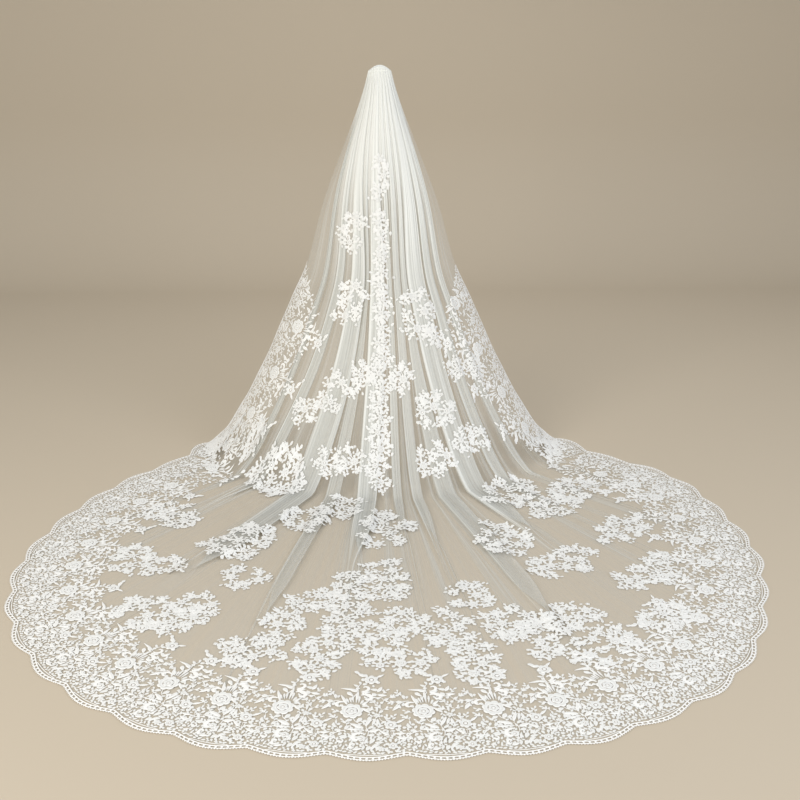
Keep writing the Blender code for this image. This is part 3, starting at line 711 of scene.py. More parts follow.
def stripPart(path, width, taper=0.35):
    # A cord along a flat path: three points across, the middle one raised, thinner to its ends.
    tangent = unit(np.gradient(path, axis=0))
    side = np.stack([-tangent[:, 1], tangent[:, 0]], -1)
    half = 0.5 * width * (1 - (1 - taper) * np.linspace(-1, 1, len(path)) ** 2)
    rows = [
        np.column_stack([path + side * (half * across)[:, None], np.full(len(path), height)])
        for across, height in ((1, 0.0001), (0, 0.0011), (-1, 0.0001))
    ]
    return np.concatenate(rows), turnedFaces(3, len(path)), np.ones(3 * len(path))


def curlPath(turn, count):
    # A scroll: the heading turns faster and faster along the path.
    heading = turn * np.linspace(0, 1, count) ** 1.7
    path = np.cumsum(np.stack([np.cos(heading), np.sin(heading)], -1), axis=0)
    return (path - path[0]) / count


petalLine = ((0, 0.30, 0.62, 0.88, 1), (0.08, 0.28, 0.49, 0.40, 0.06))
leafLine = ((0, 0.22, 0.48, 0.78, 1), (0.07, 0.38, 0.50, 0.30, 0.03))
roseOuter = (0.0005, 0.0008, 0.0016, 0.0003)
scroll = curlPath(4.2, 11)
bow = np.stack([np.linspace(0, 1, 5), 0.14 * np.sin(np.pi * np.linspace(0, 1, 5))], -1)
motifs = {
    "rose": joined(
        ringPart(8, 0.505, 1.0, 0.17, 5, roseOuter),
        ringPart(5, 0.18, 0.49, 0.16, 4, (0.0008, 0.0010, 0.0020, 0.0006), 0.3),
        discPart(0.15, 0.0018, 7),
    ),
    "roseSmall": joined(ringPart(6, 0.36, 1.0, 0.24, 4, roseOuter), discPart(0.27, 0.0019, 8)),
    "blossom": joined(
        ringPart(5, 0.22, 1.0, 0.46, 4, (0.0006, 0.0009, 0.0014, 0.0002)), discPart(0.17, 0.0017, 6)
    ),
    "petal": leafPart(*petalLine),
    "bud": leafPart((0, 0.34, 0.74, 1), (0.08, 0.38, 0.47, 0.06), across=(-1.0, 0.0, 1.0)),
    "leaf": leafPart(*leafLine),
    "leafFine": leafPart((0, 0.28, 0.64, 1), (0.07, 0.46, 0.44, 0.03), across=(-1.0, 0.0, 1.0)),
    "leafBent": leafPart(*leafLine, tip=0.35),
    "leafBack": leafPart(*leafLine, tip=-0.35),
    "plume": leafPart((0, 0.15, 0.35, 0.55, 0.75, 0.9, 1), (0.16, 0.38, 0.50, 0.50, 0.40, 0.24, 0.05), 0.3),
    "curl": stripPart(scroll, 0.17),
    "curlBack": stripPart(scroll * (1, -1), 0.17),
    "stem": stripPart(bow, 0.07, taper=0.8),
    "stemBack": stripPart(bow * (1, -1), 0.07, taper=0.8),
}
for key, (points, faces, cord) in motifs.items():   # all of them face up
    first = points[faces[0, :3]]
    if np.cross(first[1] - first[0], first[2] - first[0])[2] < 0:
        motifs[key] = (points, np.where(faces[:, 3:] >= 0, faces[:, ::-1], faces[:, [2, 1, 0, 3]]), cord)


def leafRow(kind, x, y, angle, length, width=None, height=0.0):
    # One motif of a pattern: metres and radians in the pattern's own frame.
    return kind, x, y, angle, length, length if width is None else width, height


def stepped(x, y, heading, along, aside=0.0):
    # The place reached from (x, y) by going along a heading, then aside to its left.
    cos, sin = math.cos(heading), math.sin(heading)
    return x + along * cos - aside * sin, y + along * sin + aside * cos


def twigRows(x, y, heading, length, bend, pairs, leafSize, draw):
    # A bowed stem with leaves up both sides in turn and one at its tip; leafSize is (length, width).
    rows = [leafRow("stem" if bend > 0 else "stemBack", x, y, heading, length)]
    for number in range(2 * pairs + 1):
        part = 1.0 if number == 2 * pairs else 0.34 + 0.60 * number / (2 * pairs)
        side = 0 if number == 2 * pairs else (1 if number % 2 else -1)
        spot = stepped(x, y, heading, part * length, 0.14 * bend * length * math.sin(math.pi * part))
        slope = heading + 0.44 * bend * math.cos(math.pi * part) + side * draw.uniform(0.7, 1.05)
        size = draw.uniform(0.85, 1.15)
        kind = "leafFine" if side else "bud"
        rows.append(leafRow(kind, *spot, slope, leafSize[0] * size, leafSize[1] * size))
    return rows


def buildLace(name, floorRows, fallRows):
    # Rows are (kind, x, y, angle, length, width, height) on the floor plan, and with azimuth and run for x and
    # y on the fall.
    parts = []
    for kind, (points, faces, cord) in motifs.items():
        for rows, onFloorPlan in ((floorRows, True), (fallRows, False)):
            rows = np.array([row[1:] for row in rows if row[0] == kind], float)
            if not len(rows):
                continue
            a, b, angle, size, width, height = (rows[:, k : k + 1] for k in range(6))
            x, y, h = points[None, :, 0] * size, points[None, :, 1] * width, points[None, :, 2] + height
            dx, dy = x * np.cos(angle) - y * np.sin(angle), x * np.sin(angle) + y * np.cos(angle)
            if onFloorPlan:
                placed = onFloor(a + dx, b + dy, h)
            else:
                placed = onFall(a + dx / metresPerDegree(a, b), b - dy / metresPerRun(a, b), h)
            cords = {"cord": np.tile(cord, len(rows))}
            parts.append((placed, repeatedFaces(faces, len(rows), len(points)), cords))
    piece = makePiece(name, parts, laceMaterial)
    print(name + ":", sum((part[1] >= 0).sum() - 2 * len(part[1]) for part in parts), "triangles")
    return piece


# One repeat of the wide border, charted 0.234 m along and 0.39 m deep, in millimetres: x along the edge from
# the scallop's middle, y inwards from the mean outline. Leaves: x, y, angle (0 along the edge, 90 inwards),
# length, width. Stems and scrolls: x, y, angle, length. Flowers: x, y, radius.
repeat = {
    "leaf": (
        (-43, 33, 14, 24, 10), (-28, 48, -122, 20, 7), (-8, 50, -112, 19, 7), (22, 55, -113, 26, 8),
        (-68, 51, -102, 20, 5), (-86, 57, 40, 16, 8), (-106, 46, -165, 11, 8), (-8, 56, 73, 26, 7),
        (22, 62, 6, 23, 9), (26, 72, 40, 22, 9), (17, 52, 6, 18, 9), (0, 107, 20, 32, 13),
        (-2, 120, 42, 22, 8), (20, 166, -108, 30, 8), (26, 164, -84, 24, 8), (84, 145, 38, 30, 8),
        (-119, 78, 157, 27, 9), (-119, 77, -144, 18, 9), (-121, 79, 116, 15, 6), (-30, 226, 43, 27, 8),
        (-27, 213, -40, 32, 9), (-135, 230, -125, 34, 11), (-47, 286, 155, 28, 9), (-47, 312, 150, 17, 8),
        (-34, 283, 14, 24, 9), (21, 274, -6, 26, 11), (45, 247, 41, 17, 9), (-27, 362, 143, 26, 12),
        (14, 358, 31, 26, 8),
    ),
    "petal": (
        (-2, 30, 61, 19, 12), (26, 29, 62, 20, 10), (52, 28, 60, 16, 8), (66, 53, 142, 12, 11),
        (70, 65, 107, 14, 8), (82, 65, 74, 15, 8), (88, 57, 46, 14, 9), (88, 42, 3, 10, 10),
        (82, 32, -42, 11, 8), (67, 34, -144, 11, 8), (-55, 54, 29, 12, 10), (-101, 55, 175, 13, 10),
        (-27, 93, 106, 13, 7), (-31, 82, 152, 9, 10), (7, 57, 64, 23, 12), (0, 92, 12, 17, 12),
        (-45, 91, -164, 15, 12), (23, 193, 93, 23, 7), (30, 189, 56, 16, 9), (16, 184, 120, 13, 8),
        (32, 176, 18, 10, 11), (29, 138, 157, 11, 11), (87, 133, -4, 13, 12), (84, 123, -43, 15, 9),
        (55, 146, 139, 11, 9), (76, 107, -70, 15, 7), (120, 129, 83, 15, 6), (120, 127, 13, 11, 9),
        (118, 127, -170, 11, 9), (120, 126, -75, 11, 7), (130, 107, 72, 11, 6), (136, 106, 46, 11, 7),
        (-104, 138, 93, 16, 6), (-103, 137, 18, 11, 10), (-105, 137, -160, 11, 10), (-92, 120, 68, 14, 8),
        (-94, 117, -149, 11, 10), (-88, 113, -118, 10, 7), (-75, 116, 62, 17, 10), (-92, 90, 56, 14, 9),
        (-89, 86, -4, 22, 14), (-92, 84, -89, 11, 7), (-73, 234, 114, 22, 6), (-65, 234, 105, 24, 6),
        (-58, 238, 102, 24, 6), (-49, 235, 91, 47, 8), (-40, 235, 85, 30, 6), (-34, 229, 67, 20, 7),
        (-28, 219, 28, 16, 12), (-90, 215, 136, 13, 10), (-106, 226, 166, 11, 12), (-121, 253, 103, 19, 9),
        (-115, 256, 73, 12, 8), (-126, 239, 177, 18, 14), (-123, 238, -104, 16, 9), (-138, 226, -78, 14, 7),
        (-54, 159, -167, 16, 12), (-40, 148, 57, 22, 13), (-61, 265, 135, 25, 12), (-39, 323, 114, 14, 8),
        (-41, 304, 179, 12, 11), (-4, 301, -15, 21, 11), (4, 282, -54, 16, 14), (43, 243, -129, 12, 9),
        (31, 263, -132, 12, 9), (-21, 349, -164, 16, 14), (-18, 360, 129, 16, 11), (-48, 375, 144, 20, 11),
        (14, 341, -51, 15, 11), (4, 322, -79, 10, 7), (-16, 329, -153, 15, 10),
    ),
    "plume": (
        (-16, 122, 150, 40, 11), (-11, 132, 63, 40, 9), (-79, 226, 110, 44, 8),
    ),
    "leafBent": (
        (-19, 115, 178, 46, 7), (82, 101, -2, 28, 9), (-44, 294, 170, 50, 8), (20, 288, 54, 26, 11),
    ),
    "leafBack": (
        (67, 92, 146, 38, 9),
    ),
    "stem": (
        (-11, 46, 79, 41), (-8, 128, 61, 41), (67, 112, -90, 19), (-121, 77, 39, 56), (-59, 237, 74, 48),
        (-44, 283, 84, 43), (31, 264, -61, 25),
    ),
    "stemBack": (
        (-3, 87, 98, 40), (32, 168, -41, 27), (121, 122, -61, 25), (-101, 130, -49, 22), (-107, 245, -149, 44),
        (-53, 172, -59, 36), (-34, 283, -18, 63),
    ),
    "curl": (
        (-37, 57, 179, 41), (-19, 102, 177, 72), (-94, 73, -73, 39), (-89, 237, 157, 56), (-35, 290, -8, 57),
    ),
    "curlBack": (
        (-35, 272, 29, 71),
    ),
    "blossom": (
        (42, 36, 10), (24, 178, 10),
    ),
    "roseSmall": (
        (76, 49, 13), (-21, 79, 12), (69, 137, 18), (-3, 346, 20),
    ),
    "rose": (
        (-60, 197, 31),
    ),
}


swell = {"flower": 1.10, "length": 1.10, "width": 1.20, "fineBelow": 0.026}   # charted sizes to drawn ones
flowers = ("rose", "roseSmall", "blossom")


def repeatMotifs(draw):
    rows = []
    for kind, values in repeat.items():
        for x, y, *rest in values:
            x, y = x * border["pitch"] / border["chartPitch"] / 1000, y / 1000
            if kind in flowers:
                radius = rest[0] / 1000 * swell["flower"]
                rows.append(leafRow(kind, x, y, draw.uniform(-0.3, 0.3), radius, height=0.0004))
                continue
            angle, size, drawn = math.radians(rest[0] + draw.uniform(-4, 4)), rest[1] / 1000, kind
            width = size
            if len(rest) == 3:
                size, width = size * swell["length"], min(rest[2] / 1000 * swell["width"], size)
                if size < swell["fineBelow"]:
                    drawn = {"petal": "bud", "leaf": "leafFine"}.get(kind, kind)
            rows.append(leafRow(drawn, x, y, angle, size, width, draw.uniform(0, 0.0003)))
    return rows


def spotsOf(row):
    # Circles (x, y, radius) that stand for the room one motif takes.
    kind, x, y, angle, length, width, _ = row
    if kind in flowers:
        return [(x, y, length)]
    radius = 0.30 * width if width < length else 0.002
    return [(*stepped(x, y, angle, t * length), radius) for t in (0.15, 0.5, 0.85)]


# Between the charted motifs: leafy sprigs that grow out of them into the net, then single buds near the edge.
filling = {
    "seed": 71,
    "tries": 5200,                # sprigs, and then as many buds
    "depth": (0.014, 0.30),
    "stem": (0.015, 0.030),
    "leaf": (0.0125, 0.0072),
    "rootGap": 0.002,             # at most this far from a motif
    "room": (0.0070, 0.0062),     # free net a sprig needs at its middle and its tip
    "openFrom": 0.165,            # farther in than this the net is left more open
    "openShare": 0.35,
    "budDepth": (0.014, 0.125),
    "budRoom": 0.0044,
    "bud": (0.010, 0.014),
}


def roomAt(spots, x, y):
    # Distance to the nearest motif; the repeats run on to both sides.
    dx = (x - spots[:, 0] + border["pitch"] / 2) % border["pitch"] - border["pitch"] / 2
    return float((np.hypot(dx, y - spots[:, 1]) - spots[:, 2]).min())


def overEdging(x, y):
    # Whether a spot of the repeat lies on the cords and bars of the scalloped edge.
    return y < 0.0235 - 0.7 * float(lobe(0.5 + x / border["pitch"]))


def fillingRows(rows):
    draw, tries = np.random.default_rng(filling["seed"]), filling["tries"]
    spots = np.array([spot for row in rows for spot in spotsOf(row)])
    fresh = []
    for x, y, heading, length, chance in zip(
        draw.uniform(-0.5, 0.5, tries) * border["pitch"],
        draw.uniform(*filling["depth"], tries),
        draw.uniform(0, 2 * np.pi, tries),
        draw.uniform(*filling["stem"], tries),
        draw.uniform(0, 1, tries),
    ):
        middle, tip = stepped(x, y, heading, 0.55 * length), stepped(x, y, heading, 1.15 * length)
        if overEdging(x, y) or overEdging(*tip) or (y > filling["openFrom"] and chance > filling["openShare"]):
            continue
        if roomAt(spots, x, y) > filling["rootGap"]:
            continue
        if roomAt(spots, *middle) < filling["room"][0] or roomAt(spots, *tip) < filling["room"][1]:
            continue
        bend, pairs = 1 if chance < 0.5 else -1, 1 if length < 0.022 else 2
        sprig = twigRows(x, y, heading, length, bend, pairs, filling["leaf"], draw)
        fresh += sprig
        spots = np.concatenate([spots] + [spotsOf(row) for row in sprig])
    for x, y, heading, length in zip(
        draw.uniform(-0.5, 0.5, tries) * border["pitch"],
        draw.uniform(*filling["budDepth"], tries),
        draw.uniform(0, 2 * np.pi, tries),
        draw.uniform(*filling["bud"], tries),
    ):
        if overEdging(x, y) or roomAt(spots, x, y) < filling["budRoom"]:
            continue
        row = leafRow("bud", *stepped(x, y, heading, -0.5 * length), heading, length, 0.6 * length)
        fresh.append(row)
        spots = np.concatenate([spots, spotsOf(row)])
    return fresh


azimuthGrid = np.arange(0, seat["azimuthReach"] + 0.01, 0.25)


def azimuthInward(run, distance):
    # Azimuth of the point that lies a distance inward, along the cloth, from the border's side edge.
    steps = metresPerDegree((azimuthGrid[1:] + azimuthGrid[:-1]) / 2, run) * 0.25
    arc = np.concatenate([[0], np.cumsum(steps)])
    edge = np.interp(veil["edgeAzimuth"], azimuthGrid, arc) + veil["tulleInset"]
    return float(np.interp(edge - distance, arc, azimuthGrid))


def floorRise(row):
    # How much the cloth rises under a motif laid on the floor plan.
    kind, x, y, angle, size, width, _ = row
    along, aside = motifs[kind][0][:, 0] * size, motifs[kind][0][:, 1] * width
    return float(np.ptp(onFloor(*stepped(x, y, angle, along, aside), 0.0 * along)[:, 2]))


# The two landing corners, from the short side edge on the floor up the fall: flowers keep apart there, and a
# motif is left out where it would lie bare under the fall or hang from it down to the floor.
landingCorner = {"run": 1.95, "flowerGap": 1.6, "underFall": 0.80, "rise": 0.035}


def outOfPlace(row):
    # The fall's outline where it lands stands in fallShape at run 1, the last value but one.
    toX, toY = row[1] / fallShape["halfWidth"][-2], row[2] / fallShape["depth"][-2]
    return math.hypot(toX, toY) < landingCorner["underFall"] or floorRise(row) > landingCorner["rise"]


def makeBorderRows():
    draw = np.random.default_rng(border["seed"])
    pieces = {"hem": ([], []), "left": ([], []), "right": ([], [])}
    placed = np.zeros((0, 3))
    filler = fillingRows(repeatMotifs(np.random.default_rng(border["fillSeed"])))
    print("border repeat:", len(filler), "filling leaves")
    for number in range(-sideCount - 1, scallopCount + sideCount + 1):
        where = "left" if number < -1 else "right" if number > scallopCount else "hem"
        fresh = []
        for kind, x, y, angle, size, width, height in repeatMotifs(draw) + filler:
            phase = number + 0.5 + x / border["pitch"]
            toEnd = min(phase - outlinePhase[0], outlinePhase[-1] - phase)
            if toEnd <= 0.02 or y > 0.05 + 1.1 * toEnd * border["pitch"]:
                continue
            point, tangent, inward, _, run = (values[0] for values in onOutline(np.array([phase])))
            if run >= seat["floorFrom"]:
                spot = point + inward * y
                row = (kind, spot[0], spot[1], angle + math.atan2(tangent[1], tangent[0]), size, width, height)
                if run < landingCorner["run"] and outOfPlace(row):
                    continue
                centre, target = spot, 0
            else:
                side = 1 if point[0] > 0 else -1
                azimuth = side * azimuthInward(run, y)
                row = (kind, azimuth, run, angle + side * math.pi / 2, size, width, height)
                centre, target = clothPoint(azimuth, run), 1
            if kind in flowers:
                gaps = np.linalg.norm(placed - centre, axis=1)
                if run < landingCorner["run"] and (gaps < size * landingCorner["flowerGap"]).any():
                    continue
                fresh.append(centre)
            pieces[where][target].append(row)
        if fresh:
            placed = np.concatenate([placed, fresh])
    return pieces


borderRows = makeBorderRows()
hemPiece = buildLace("hemLace", *borderRows["hem"])
leftPiece = buildLace("sideLaceLeft", *borderRows["left"])
rightPiece = buildLace("sideLaceRight", *borderRows["right"])


# The scalloped edge: two cords with a ladder of bars between them, a row of tiny picots outside, and inside
# each scallop a bowed cord that leaves a slit of net. Insets are from the scalloped line, inwards.
edging = {
    "step": 0.0045,
    "cords": ((0.0022, 0.0034, 0.0013), (0.0122, 0.0040, 0.0014)),   # inset, width and height of each cord
    "bars": {"pitch": 0.017, "width": 0.0075, "start": 0.0035, "end": 0.0108, "height": 0.0009},
    "picots": {"pitch": 0.0085, "width": 0.0045, "start": -0.0026, "end": 0.0015, "height": 0.0007},
    "slit": {"inset": 0.0210, "width": 0.0026, "height": 0.0009, "reach": 0.27},   # reach: phase, each way
}


def atEdge(phase, inset, height):
    point, _, inward, normal, run = onOutline(phase)
    amount = np.clip(np.minimum(phase - outlinePhase[0], outlinePhase[-1] - phase) * 3, 0, 1)
    spot = point + inward * (inset - lobe(phase, amount))[:, None]
    base = np.where(run >= 1, seat["clearance"] + veil["wall"] / 2, seat["clearance"] + 0.0005)
    return spot + normal * (base + height)[:, None]


def cordStrip(phase, inset, width, height):
    # A cord on the edge: three points across, the middle one raised.
    rows = [atEdge(phase, inset + width * across, rise) for across, rise in ((0.5, 0), (0, height), (-0.5, 0))]
    return np.array(rows), turnedFaces(3, len(phase)), {"cord": np.ones(3 * len(phase))}


def makeEdging():
    fine = np.arange(0, len(outline) - 1, 0.25)
    dense = np.interp(fine, np.arange(len(outline)), outlinePhase)
    length = lengthAlong(atEdge(dense, 0.0, 0.0))
    phase = np.interp(np.arange(0.01, length[-1] - 0.01, edging["step"]), length, dense)
    parts = [cordStrip(phase, *cord) for cord in edging["cords"]]
    slit, cordInset = edging["slit"], edging["cords"][1][0]
    part = np.linspace(-1, 1, 26)
    bowed = cordInset + (slit["inset"] - cordInset) * np.sqrt(1 - 0.97 * part**2)
    for number in range(-sideCount, scallopCount + sideCount + 1):
        around = number + 0.5 + slit["reach"] * part
        if around[0] > outlinePhase[0] + 0.1 and around[-1] < outlinePhase[-1] - 0.1:
            parts.append(cordStrip(around, bowed, slit["width"], slit["height"]))
    for detail in (edging["bars"], edging["picots"]):
        middle = np.arange(0.012, length[-1] - 0.012, detail["pitch"])
        start, end = detail["start"], detail["end"]
        rows = []
        for across in (-0.5, 0.0, 0.5):
            for inset, squeeze in ((start, 1.0), ((start + end) / 2, 0.72), (end, 1.0)):
                spots = np.interp(middle + across * detail["width"] * squeeze, length, dense)
                rows.append(atEdge(spots, inset, detail["height"] if across == 0 else 0.0))
        points = np.array(rows).transpose(1, 0, 2)
        faces = repeatedFaces(turnedFaces(3, 3), len(middle), 9)
        parts.append((points, faces, {"cord": np.ones(9 * len(middle))}))
    return makePiece("scallopEdging", parts, laceMaterial)


edgingPiece = makeEdging()
print("edging:", len(edgingPiece.data.polygons), "faces")


# Sprays of the same lace. On the floor: azimuth, distance from the comb's axis, metres across and along. On
# the fall: azimuth, run, metres across and along.
floorSprays = (
    (-62.3, 0.66, 0.08, 0.12), (-42.2, 0.68, 0.26, 0.20), (40.3, 0.82, 0.26, 0.22), (53.9, 1.01, 0.24, 0.18),
    (-12.7, 0.76, 0.13, 0.15), (-20.3, 0.90, 0.17, 0.20), (-28.7, 1.16, 0.22, 0.25), (23.4, 1.13, 0.19, 0.26),
    (28.2, 1.37, 0.28, 0.15), (-5.7, 1.38, 0.12, 0.18), (-9.7, 1.46, 0.15, 0.14), (10.9, 1.47, 0.15, 0.15),
    (0.2, 0.95, 0.19, 0.29), (-0.3, 1.32, 0.12, 0.32), (42.5, 1.02, 0.22, 0.16), (-48.0, 1.15, 0.24, 0.16),
    (44.5, 1.33, 0.26, 0.15), (-21.5, 1.38, 0.14, 0.13),
    (-24.2, 1.61, 0.14, 0.12), (-4.6, 1.58, 0.18, 0.20), (0.9, 1.60, 0.10, 0.15), (5.9, 1.65, 0.16, 0.18),
    (13.6, 1.65, 0.19, 0.17), (20.7, 1.70, 0.19, 0.15), (-12.7, 1.64, 0.15, 0.15), (15.6, 1.77, 0.16, 0.17),
    (-14.4, 1.81, 0.19, 0.15), (-7.1, 1.79, 0.16, 0.18), (-0.8, 1.72, 0.13, 0.13), (7.9, 1.84, 0.16, 0.18),
    (0.8, 1.82, 0.17, 0.14), (-37.5, 1.46, 0.32, 0.15), (36.1, 1.61, 0.32, 0.13), (-27.0, 1.71, 0.33, 0.18),
    (30.0, 1.84, 0.19, 0.11), (21.5, 1.87, 0.24, 0.12),
)
fallSprays = (
    (-26.5, 0.355, 0.080, 0.147), (-21.4, 0.525, 0.082, 0.176), (22.5, 0.555, 0.112, 0.190),
    (-10.0, 0.705, 0.075, 0.134), (-21.8, 0.748, 0.115, 0.118), (8.5, 0.715, 0.088, 0.122),
    (37.5, 0.705, 0.080, 0.110), (50.5, 0.71, 0.080, 0.126), (21.2, 0.790, 0.143, 0.139),
    (34.2, 0.875, 0.151, 0.101), (-15.2, 0.905, 0.165, 0.110), (17.8, 0.905, 0.150, 0.104),
    (29.0, 0.62, 0.064, 0.088), (-34.0, 0.80, 0.11, 0.10),
)
spray = {
    "seed": 41,
    "roseArea": 0.0058,               # one rose to this much lace, and six at most
    "rose": (0.0145, 0.0200),         # its radius
    "narrowRose": (0.0115, 0.0145),   # and in a spray no wider than this
    "narrow": 0.08,
    "petals": 7,
    "petal": (0.014, 0.020),
    "twigs": 6,
    "twigReach": 0.085,
    "leaf": (0.0172, 0.0108),
    "budArea": 0.00019,
    "budGap": 0.0024,
    "bud": (0.013, 0.019),
    "blossom": (0.007, 0.009),
    "blossomShare": 0.18,
    "innerReach": 1.42,               # distance that parts the train's inner sprays from its outer ones
}
centreColumn = {
    "seed": 57,
    "runs": (0.195, 0.985, 0.036),   # from, to and step
    "gap": (0.29, 0.315),            # bare net between these
    "atRun": (0.18, 0.4, 0.7, 1.0),
    "azimuth": (1.0, -0.6, -1.4, -2.0),
    "width": (0.034, 0.046, 0.055, 0.085),
    "sway": 0.012,
    "fullness": 0.8,
}


def scatterSpray(draw, across, along, fullness=1.0):
    # Roses along the longer way; round each a ring of petals; from it leafy twigs out to the spray's ragged
    # edge; then buds in the widest gaps that are left.
    rows = []
    area = math.pi / 4 * across * along
    roses = max(1, min(6, round(area / spray["roseArea"])))
    roseSizes = spray["rose"] if min(across, along) > spray["narrow"] else spray["narrowRose"]
    bow = draw.uniform(-0.20, 0.20)
    centres = []
    for index in range(roses):
        t = 0.0 if roses == 1 else (index / (roses - 1) - 0.5) * 0.74
        zigzag = 0.10 if index % 2 else -0.10
        lean = draw.uniform(-0.10, 0.10) + (bow * (1 - 12 * t * t) + zigzag) * (roses > 1)
        x, y = (lean * across, t * along) if along >= across else (t * across, lean * along)
        centres.append((x, y, draw.uniform(*roseSizes)))
    middles = np.array(centres)
    spots = []
    for index, (x, y, size) in enumerate(centres):
        kind = "rose" if size > 0.0165 else "roseSmall"
        rows.append(leafRow(kind, x, y, draw.uniform(0, 6.28), size, height=0.0008))
        turn = draw.uniform(0, 6.28)
        for angle in turn + np.arange(spray["petals"]) * (2 * math.pi / spray["petals"]):
            length = draw.uniform(*spray["petal"])
            foot = stepped(x, y, angle, 0.85 * size)
            rows.append(leafRow("bud", *foot, angle + draw.uniform(-0.3, 0.3), length, 0.70 * length))
        for angle in turn + 0.45 + np.arange(spray["twigs"]) * (2 * math.pi / spray["twigs"]):
            angle = angle + draw.uniform(-0.22, 0.22)
            reach = 1 / math.hypot(math.cos(angle) / (0.5 * across), math.sin(angle) / (0.5 * along))
            toEdge = reach * draw.uniform(0.70, 1.25) - math.hypot(x, y) * math.cos(angle - math.atan2(y, x))
            length = min(toEdge, spray["twigReach"]) - size
            if length < 0.012:
                continue
            midX, midY = stepped(x, y, angle, size + 0.6 * length)
            gaps = np.hypot(middles[:, 0] - midX, middles[:, 1] - midY)
            if int(np.argmin(gaps)) != index or (np.delete(gaps, index) < 0.028).any():
                continue
            bend, pairs = draw.choice((-1, 1)), max(1, min(3, round(length / 0.019)))
            rows += twigRows(*stepped(x, y, angle, size), angle, length, bend, pairs, spray["leaf"], draw)
            spots.append((midX, midY, 0.008))
    anchors = np.array([(x, y) for x, y, size in centres] * 2 + [(x, y) for x, y, size in spots])
    spots = [(x, y, size + 0.009) for x, y, size in centres] + spots
    for kind, x, y, angle, length, *_ in rows:
        if kind in ("leafFine", "bud"):
            spots.append((*stepped(x, y, angle, 0.6 * length), 0.003))
    spots = np.array(spots)
    for _ in range(int(fullness * area / spray["budArea"])):
        tries = anchors[draw.integers(0, len(anchors), 10)] + draw.normal(0.0, 0.0115, (10, 2))
        x, y = tries[:, 0], tries[:, 1]
        gaps = np.hypot(x[:, None] - spots[None, :, 0], y[:, None] - spots[None, :, 1])
        gaps = (gaps - spots[None, :, 2]).min(1)
        best = int(np.argmax(gaps))
        if gaps[best] < spray["budGap"]:
            continue
        x, y = float(x[best]), float(y[best])
        spots = np.concatenate([spots, [(x, y, 0.003)]])
        if draw.uniform() < spray["blossomShare"]:
            heading, radius = draw.uniform(0, 6.28), draw.uniform(*spray["blossom"])
            rows.append(leafRow("blossom", x, y, heading, radius, height=0.0004))
            continue
        heading, length = draw.uniform(0, 6.28), draw.uniform(*spray["bud"])
        foot = stepped(x, y, heading, -0.5 * length)
        rows.append(leafRow("bud", *foot, heading, length, 0.66 * length, draw.uniform(0, 0.0006)))
    return rows


def makeSprays():
    draw = np.random.default_rng(spray["seed"])
    inner, outer, onDrop = [], [], []
    for azimuth, distance, across, along in floorSprays:
        a = math.radians(azimuth)
        middle = distance * math.sin(a), -distance * math.cos(a)
        for kind, x, y, angle, *rest in scatterSpray(draw, across, along):
            spot = stepped(*middle, a, x, y)
            target = inner if math.hypot(*spot) < spray["innerReach"] else outer
            target.append((kind, *spot, angle + a, *rest))
    for azimuth, run, across, along in fallSprays:
        perDegree, perRun = float(metresPerDegree(azimuth, run)), float(metresPerRun(azimuth, run))
        for kind, x, y, *rest in scatterSpray(draw, across, along):
            onDrop.append((kind, azimuth + x / perDegree, run - y / perRun, *rest))
    return inner, outer, onDrop


def makeColumnRows():
    # Small sprays one below the other, swinging a little from side to side.
    draw = np.random.default_rng(centreColumn["seed"])
    rows = []
    for number, run in enumerate(np.arange(*centreColumn["runs"])):
        if centreColumn["gap"][0] < run < centreColumn["gap"][1]:
            continue
        width = float(np.interp(run, centreColumn["atRun"], centreColumn["width"])) * draw.uniform(0.8, 1.2)
        azimuth = float(np.interp(run, centreColumn["atRun"], centreColumn["azimuth"]))
        perDegree, perRun = float(metresPerDegree(azimuth, run)), float(metresPerRun(azimuth, run))
        sway = (centreColumn["sway"] if number % 2 else -centreColumn["sway"]) * draw.uniform(0.2, 1.0)
        along = centreColumn["runs"][2] * perRun * 1.15
        for kind, x, y, *rest in scatterSpray(draw, width, along, centreColumn["fullness"]):
            rows.append((kind, azimuth + (x + sway) / perDegree, run - y / perRun, *rest))
    return rows


innerRows, outerRows, sprayFallRows = makeSprays()
innerSprayPiece = buildLace("trainSpraysInner", innerRows, [])
outerSprayPiece = buildLace("trainSpraysOuter", outerRows, [])
fallSprayPiece = buildLace("fallSprays", [], sprayFallRows)
columnPiece = buildLace("centreLace", [], makeColumnRows())


# Clear acetate comb: moulded, glossy, faintly warm, its gloss uneven from rubbing.
combLook = {"colour": "#efe9dd", "roughness": 0.16, "ior": 1.48}


def dressComb():
    look = {"Base Color": linear(combLook["colour"]), "IOR": combLook["ior"], "Transmission Weight": 0.75}
    material, tree, shader = newMaterial("clearAcetate", look)
    place = addNode(tree, "ShaderNodeTexCoord")
    rubbed = {"Scale": 180.0, "Detail": 3.0}
    wear = addNode(tree, "ShaderNodeTexNoise", {}, rubbed, {"Vector": (place, "Object")})
    worn = {"To Min": combLook["roughness"] * 0.6, "To Max": combLook["roughness"] * 1.8}
    rough = addNode(tree, "ShaderNodeMapRange", {}, worn, {"Value": (wear, "Fac")})
    tree.links.new(rough.outputs["Result"], shader.inputs["Roughness"])
    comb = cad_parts["comb"]
    comb.data.materials.clear()
    comb.data.materials.append(material)


dressComb()
print("comb dressed")

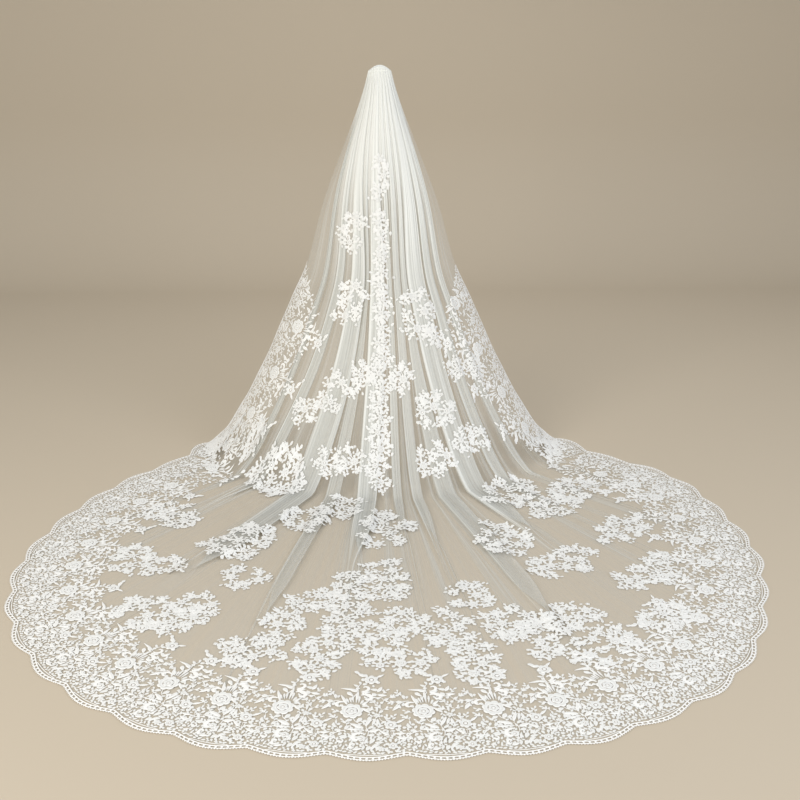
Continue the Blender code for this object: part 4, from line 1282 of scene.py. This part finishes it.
for piece, nodes in (
    (tullePiece, ("tulle_fall", "tulle_train")),
    (hemPiece, ("lace_hem",)),
    (leftPiece, ("lace_side_left",)),
    (rightPiece, ("lace_side_right",)),
    (columnPiece, ("lace_column",)),
    (fallSprayPiece, tuple(f"spray_fall_{number:02d}" for number in range(1, 9))),
    (innerSprayPiece, tuple(f"spray_train_{number:02d}" for number in range(1, 8))),
    (outerSprayPiece, tuple(f"spray_train_{number:02d}" for number in range(8, 16))),
    (edgingPiece, ()),
):
    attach(piece, "root")
    if nodes:
        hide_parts(*nodes)

studio = {
    "floor": "#c9bda9",
    "sky": ("#f3f5f8", 0.49),
    "lights": (   # name, place, what it points at, size, power and colour
        ("keyLight", (-3.4, -5.0, 1.5), (0, -0.9, -1.2), 3.6, 215.0, "#fffaf2"),
        ("fillLight", (3.8, -4.4, 1.2), (0, -0.9, -1.2), 3.6, 130.0, "#f4f7ff"),
        ("backLight", (0.5, 2.2, 2.6), (0, -0.8, -1.2), 2.4, 40.0, "#ffffff"),
    ),
    "camera": {"place": (-0.064, -4.45, 0.13), "down": 19.85, "right": 1.93, "lens": 45.0, "sensor": 36.0},
}


def makeStage():
    # Floor and a backdrop that curves up from it: plain matt painted board.
    look = {"Base Color": linear(studio["floor"]), "Roughness": 0.9}
    material = newMaterial("paintedBoard", look)[0]
    bend = [(3.0 + 1.2 * math.sin(a), 1.2 - 1.2 * math.cos(a)) for a in np.linspace(0.1, math.pi / 2, 12)]
    profile = [(-9.0, 0.0), (3.0, 0.0)] + bend + [(4.2, 7.0)]
    points = np.array([[(x, y, z - veil["combHeight"] - 0.0008) for y, z in profile] for x in (-9.0, 9.0)])
    makePiece("studioFloor", [(points, gridFaces(2, len(profile))[:, ::-1], {})], material)


def addLight(name, place, target, size, power, colour):
    light = bpy.data.lights.new(name, "AREA")
    light.shape, light.size, light.energy, light.color = "SQUARE", size, power, linear(colour)[:3]
    lamp = bpy.data.objects.new(name, light)
    bpy.context.scene.collection.objects.link(lamp)
    x, y, z = np.array(target) - np.array(place)
    lamp.location = place
    lamp.rotation_euler = (math.atan2(math.hypot(x, y), -z), 0, math.atan2(-x, y))


def makeStudio():
    makeStage()
    for light in studio["lights"]:
        addLight(*light)
    world = bpy.data.worlds.new("studioAir")
    bpy.context.scene.world = world
    world.use_nodes = True
    air = world.node_tree.nodes["Background"].inputs
    air["Color"].default_value, air["Strength"].default_value = linear(studio["sky"][0]), studio["sky"][1]
    view = studio["camera"]
    camera = bpy.data.cameras.new("camera")
    camera.lens, camera.sensor_width, camera.clip_end = view["lens"], view["sensor"], 60.0
    seen = bpy.data.objects.new("camera", camera)
    seen.location = view["place"]
    seen.rotation_euler = (math.radians(90 - view["down"]), 0, math.radians(-view["right"]))
    bpy.context.scene.collection.objects.link(seen)
    bpy.context.scene.camera = seen
    bpy.context.scene.view_settings.view_transform = "Standard"
    bpy.context.scene.cycles.transparent_max_bounces = 48   # the net lies in many layers


makeStudio()
print("studio ready")
